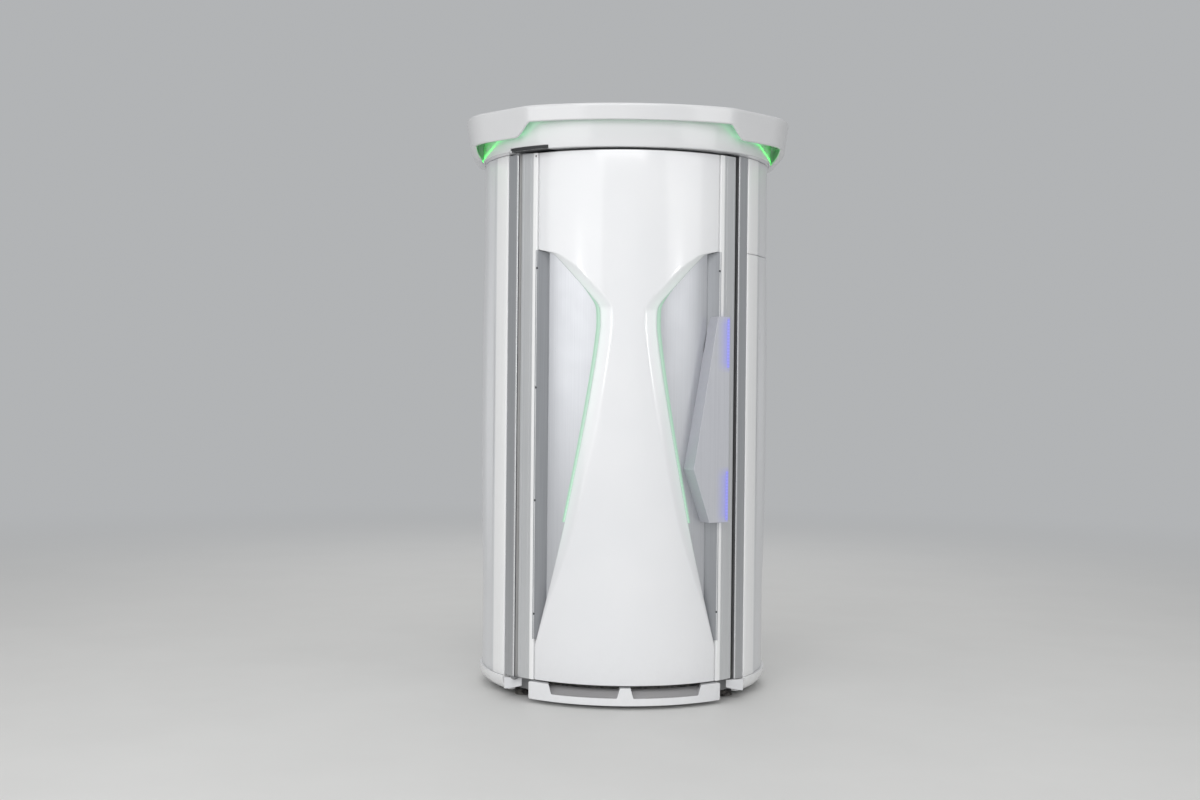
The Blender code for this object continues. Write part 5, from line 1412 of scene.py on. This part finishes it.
# hinge slot: dark pocket and cover behind the fascia, leaf ends and knuckles
slotParts = {
    "span": (-48.0, -30.8), "columns": 24,
    "linings": {"Pocket": ((0.0052, 0.0062), (2.1512, 2.1652)),   # insets and levels
                "Cover": ((0.0052, 0.070), (2.1493, 2.1502))},
    "leaf": (-45.6, -32.6), "leafEdge": 0.0005,
    "leaves": ((0.5845, 0.5935, 0.0, (2.1514, 2.1540), "paintedSteel"),   # radii, cut, levels, finish
               (0.5805, 0.5925, 3.0, (2.1574, 2.1592), "hingeSteel")),
    "knuckle": (-0.4326, -0.4041), "knuckleLevels": {"top": 2.1499, "bottom": 0.0779},
    "knuckleTurned": (28, ((0.0, 0.0), (0.0066, 0.0), (0.0076, 0.0008), (0.0076, 0.0032), (0.0068, 0.0040),
                           (0.0, 0.0040))),
}


def makeSlotParts():
    plan = slotParts
    for title, ((outer, inner), (low, high)) in plan["linings"].items():
        rings = [[fasciaPoint(fasciaTurn(bearing), inset, z)
                  for inset, z in ((outer, low), (outer, high), (inner, high), (inner, low))]
                 for bearing in evenly(*plan["span"], plan["columns"])]
        putPiece(f"hingeSlot{title}", loftRings(rings), "darkPlastic", "usual", "cabin", "dark_plastic")
    start, end = plan["leaf"]
    for i, (inner, outer, cut, levels, material) in enumerate(plan["leaves"]):
        section = arcPath(inner, start, end) + arcPath(outer, end + cut, start)
        putSoftened(f"hingeLeafEdge_{i}", prismMesh(section, levels), material, plan["leafEdge"], "cabin", "steel")
    for title, z in plan["knuckleLevels"].items():
        putTurned(f"hingeKnuckle_{title}", plan["knuckleTurned"], (*plan["knuckle"], z), upward, "hingeSteel",
                  "cabin", "steel")


makePostTrim()
makeScoopLiners()
makeSlotParts()
print("trim, liners and hinge slot made")


# end plates of the skirts, grey as painted shade on white, top pin and catches of the door
baseTrim = {
    "plate": ((0.4735, -0.3785), (0.4035, -0.3975)), "wall": 0.0025, "top": 0.0812, "low": (0.0365, 0.0520),
    "sweep": 1.4, "columns": 10, "plateEdge": 0.0006, "catchEdge": 0.0010,
    "pinPlace": (-0.3612, -0.4560, 2.1262),
    "pinTurned": (24, ((0.0, 0.0), (0.0042, 0.0), (0.0052, 0.0010), (0.0052, 0.0070), (0.0046, 0.0082),
                       (0.0, 0.0082))),
    "catch": ((0.5720, 0.5900, 42.2, 44.2, 2.1444, 2.1492), (0.5740, 0.5880, 45.2, 47.3, 2.1444, 2.1480)),
}


def makeBaseTrim():
    plan = baseTrim
    (startX, startY), (endX, endY) = plan["plate"]
    top, wall = plan["top"], plan["wall"]
    for side, sign in sides:
        rings = []
        for share in evenly(0.0, 1.0, plan["columns"]):
            x, y = sign * between(startX, endX, share), between(startY, endY, share)
            low = between(*plan["low"], share ** plan["sweep"])
            rings.append([(x, y, low), (x, y, top), (x, y + wall, top), (x, y + wall, low)])
        # painted shade: the end plates take the shells' grey copy of white
        putSoftened(f"skirtEndPlate_{side}", loftRings(rings), "shellPaintedShade", plan["plateEdge"],
                    "cabin", "gloss_white")
    putTurned("doorTopPin", plan["pinTurned"], plan["pinPlace"], upward, "darkPlastic", "door", "dark_plastic")
    for i, (inner, outer, start, end, low, high) in enumerate(plan["catch"]):
        section = arcPath(inner, start, end) + arcPath(outer, end, start)
        putSoftened(f"topCatch_{i}", prismMesh(section, (low, high)), "darkPlastic", plan["catchEdge"],
                    "cabin", "dark_plastic")


# control panel: framed display window and a row of domed keys, all blank
panelPlan = {
    "window": (0.044, 1.335, 1.437), "corner": 0.008, "cornerSteps": 7,
    "frame": ((0.0, 0.0), (0.0, 0.0016), (0.0015, 0.0022), (0.0035, 0.0022), (0.005, 0.0016), (0.005, 0.0)),
    "glass": ((-0.0004, 0.0), (-0.0004, 0.0006), (-0.0010, 0.0010)),   # growth and lift of each loop
    "keyTurned": (28, ((0.0, 0.0), (0.0075, 0.0), (0.0072, -0.0012), (0.0055, -0.0022), (0.0030, -0.0027),
                       (0.0, -0.0029))),
    "keys": (-0.036, -0.012, 0.012, 0.036), "keyLevel": 1.306,
}


def windowLoop(grow, lift):
    half, low, high = panelPlan["window"]
    corner = panelPlan["corner"]
    loop = []
    for signX, signZ, start in ((1, 1, 0.0), (-1, 1, 90.0), (-1, -1, 180.0), (1, -1, 270.0)):
        for turn in evenly(start, start + 90.0, panelPlan["cornerSteps"]):
            angle = math.radians(turn)
            x = signX * (half - corner) + (corner + grow) * math.cos(angle)
            z = (low + high) / 2.0 + signZ * ((high - low) / 2.0 - corner) + (corner + grow) * math.sin(angle)
            loop.append((x, panelFace - lift, z))
    return loop


def makePanel():
    plan = panelPlan
    rings = [windowLoop(*level) for level in plan["frame"]]
    putPiece("displayFrame", loftRings(rings, closed=True), "alloy", "soft", "cabin", "alloy")
    rings = [windowLoop(*level) for level in plan["glass"]]
    putPiece("displayWindow", loftRings(rings), "displayGlass", "sheet", "cabin", "dark_plastic")
    for i, x in enumerate(plan["keys"]):
        mesh = lathe(*plan["keyTurned"], (x, panelFace, plan["keyLevel"]), rearward)
        putPiece(f"panelKey_{i}", mesh, "greyRubber", "soft", "cabin", "rubber")


makeBaseTrim()
makePanel()
print("base trim and control panel made")


print("pieces done")
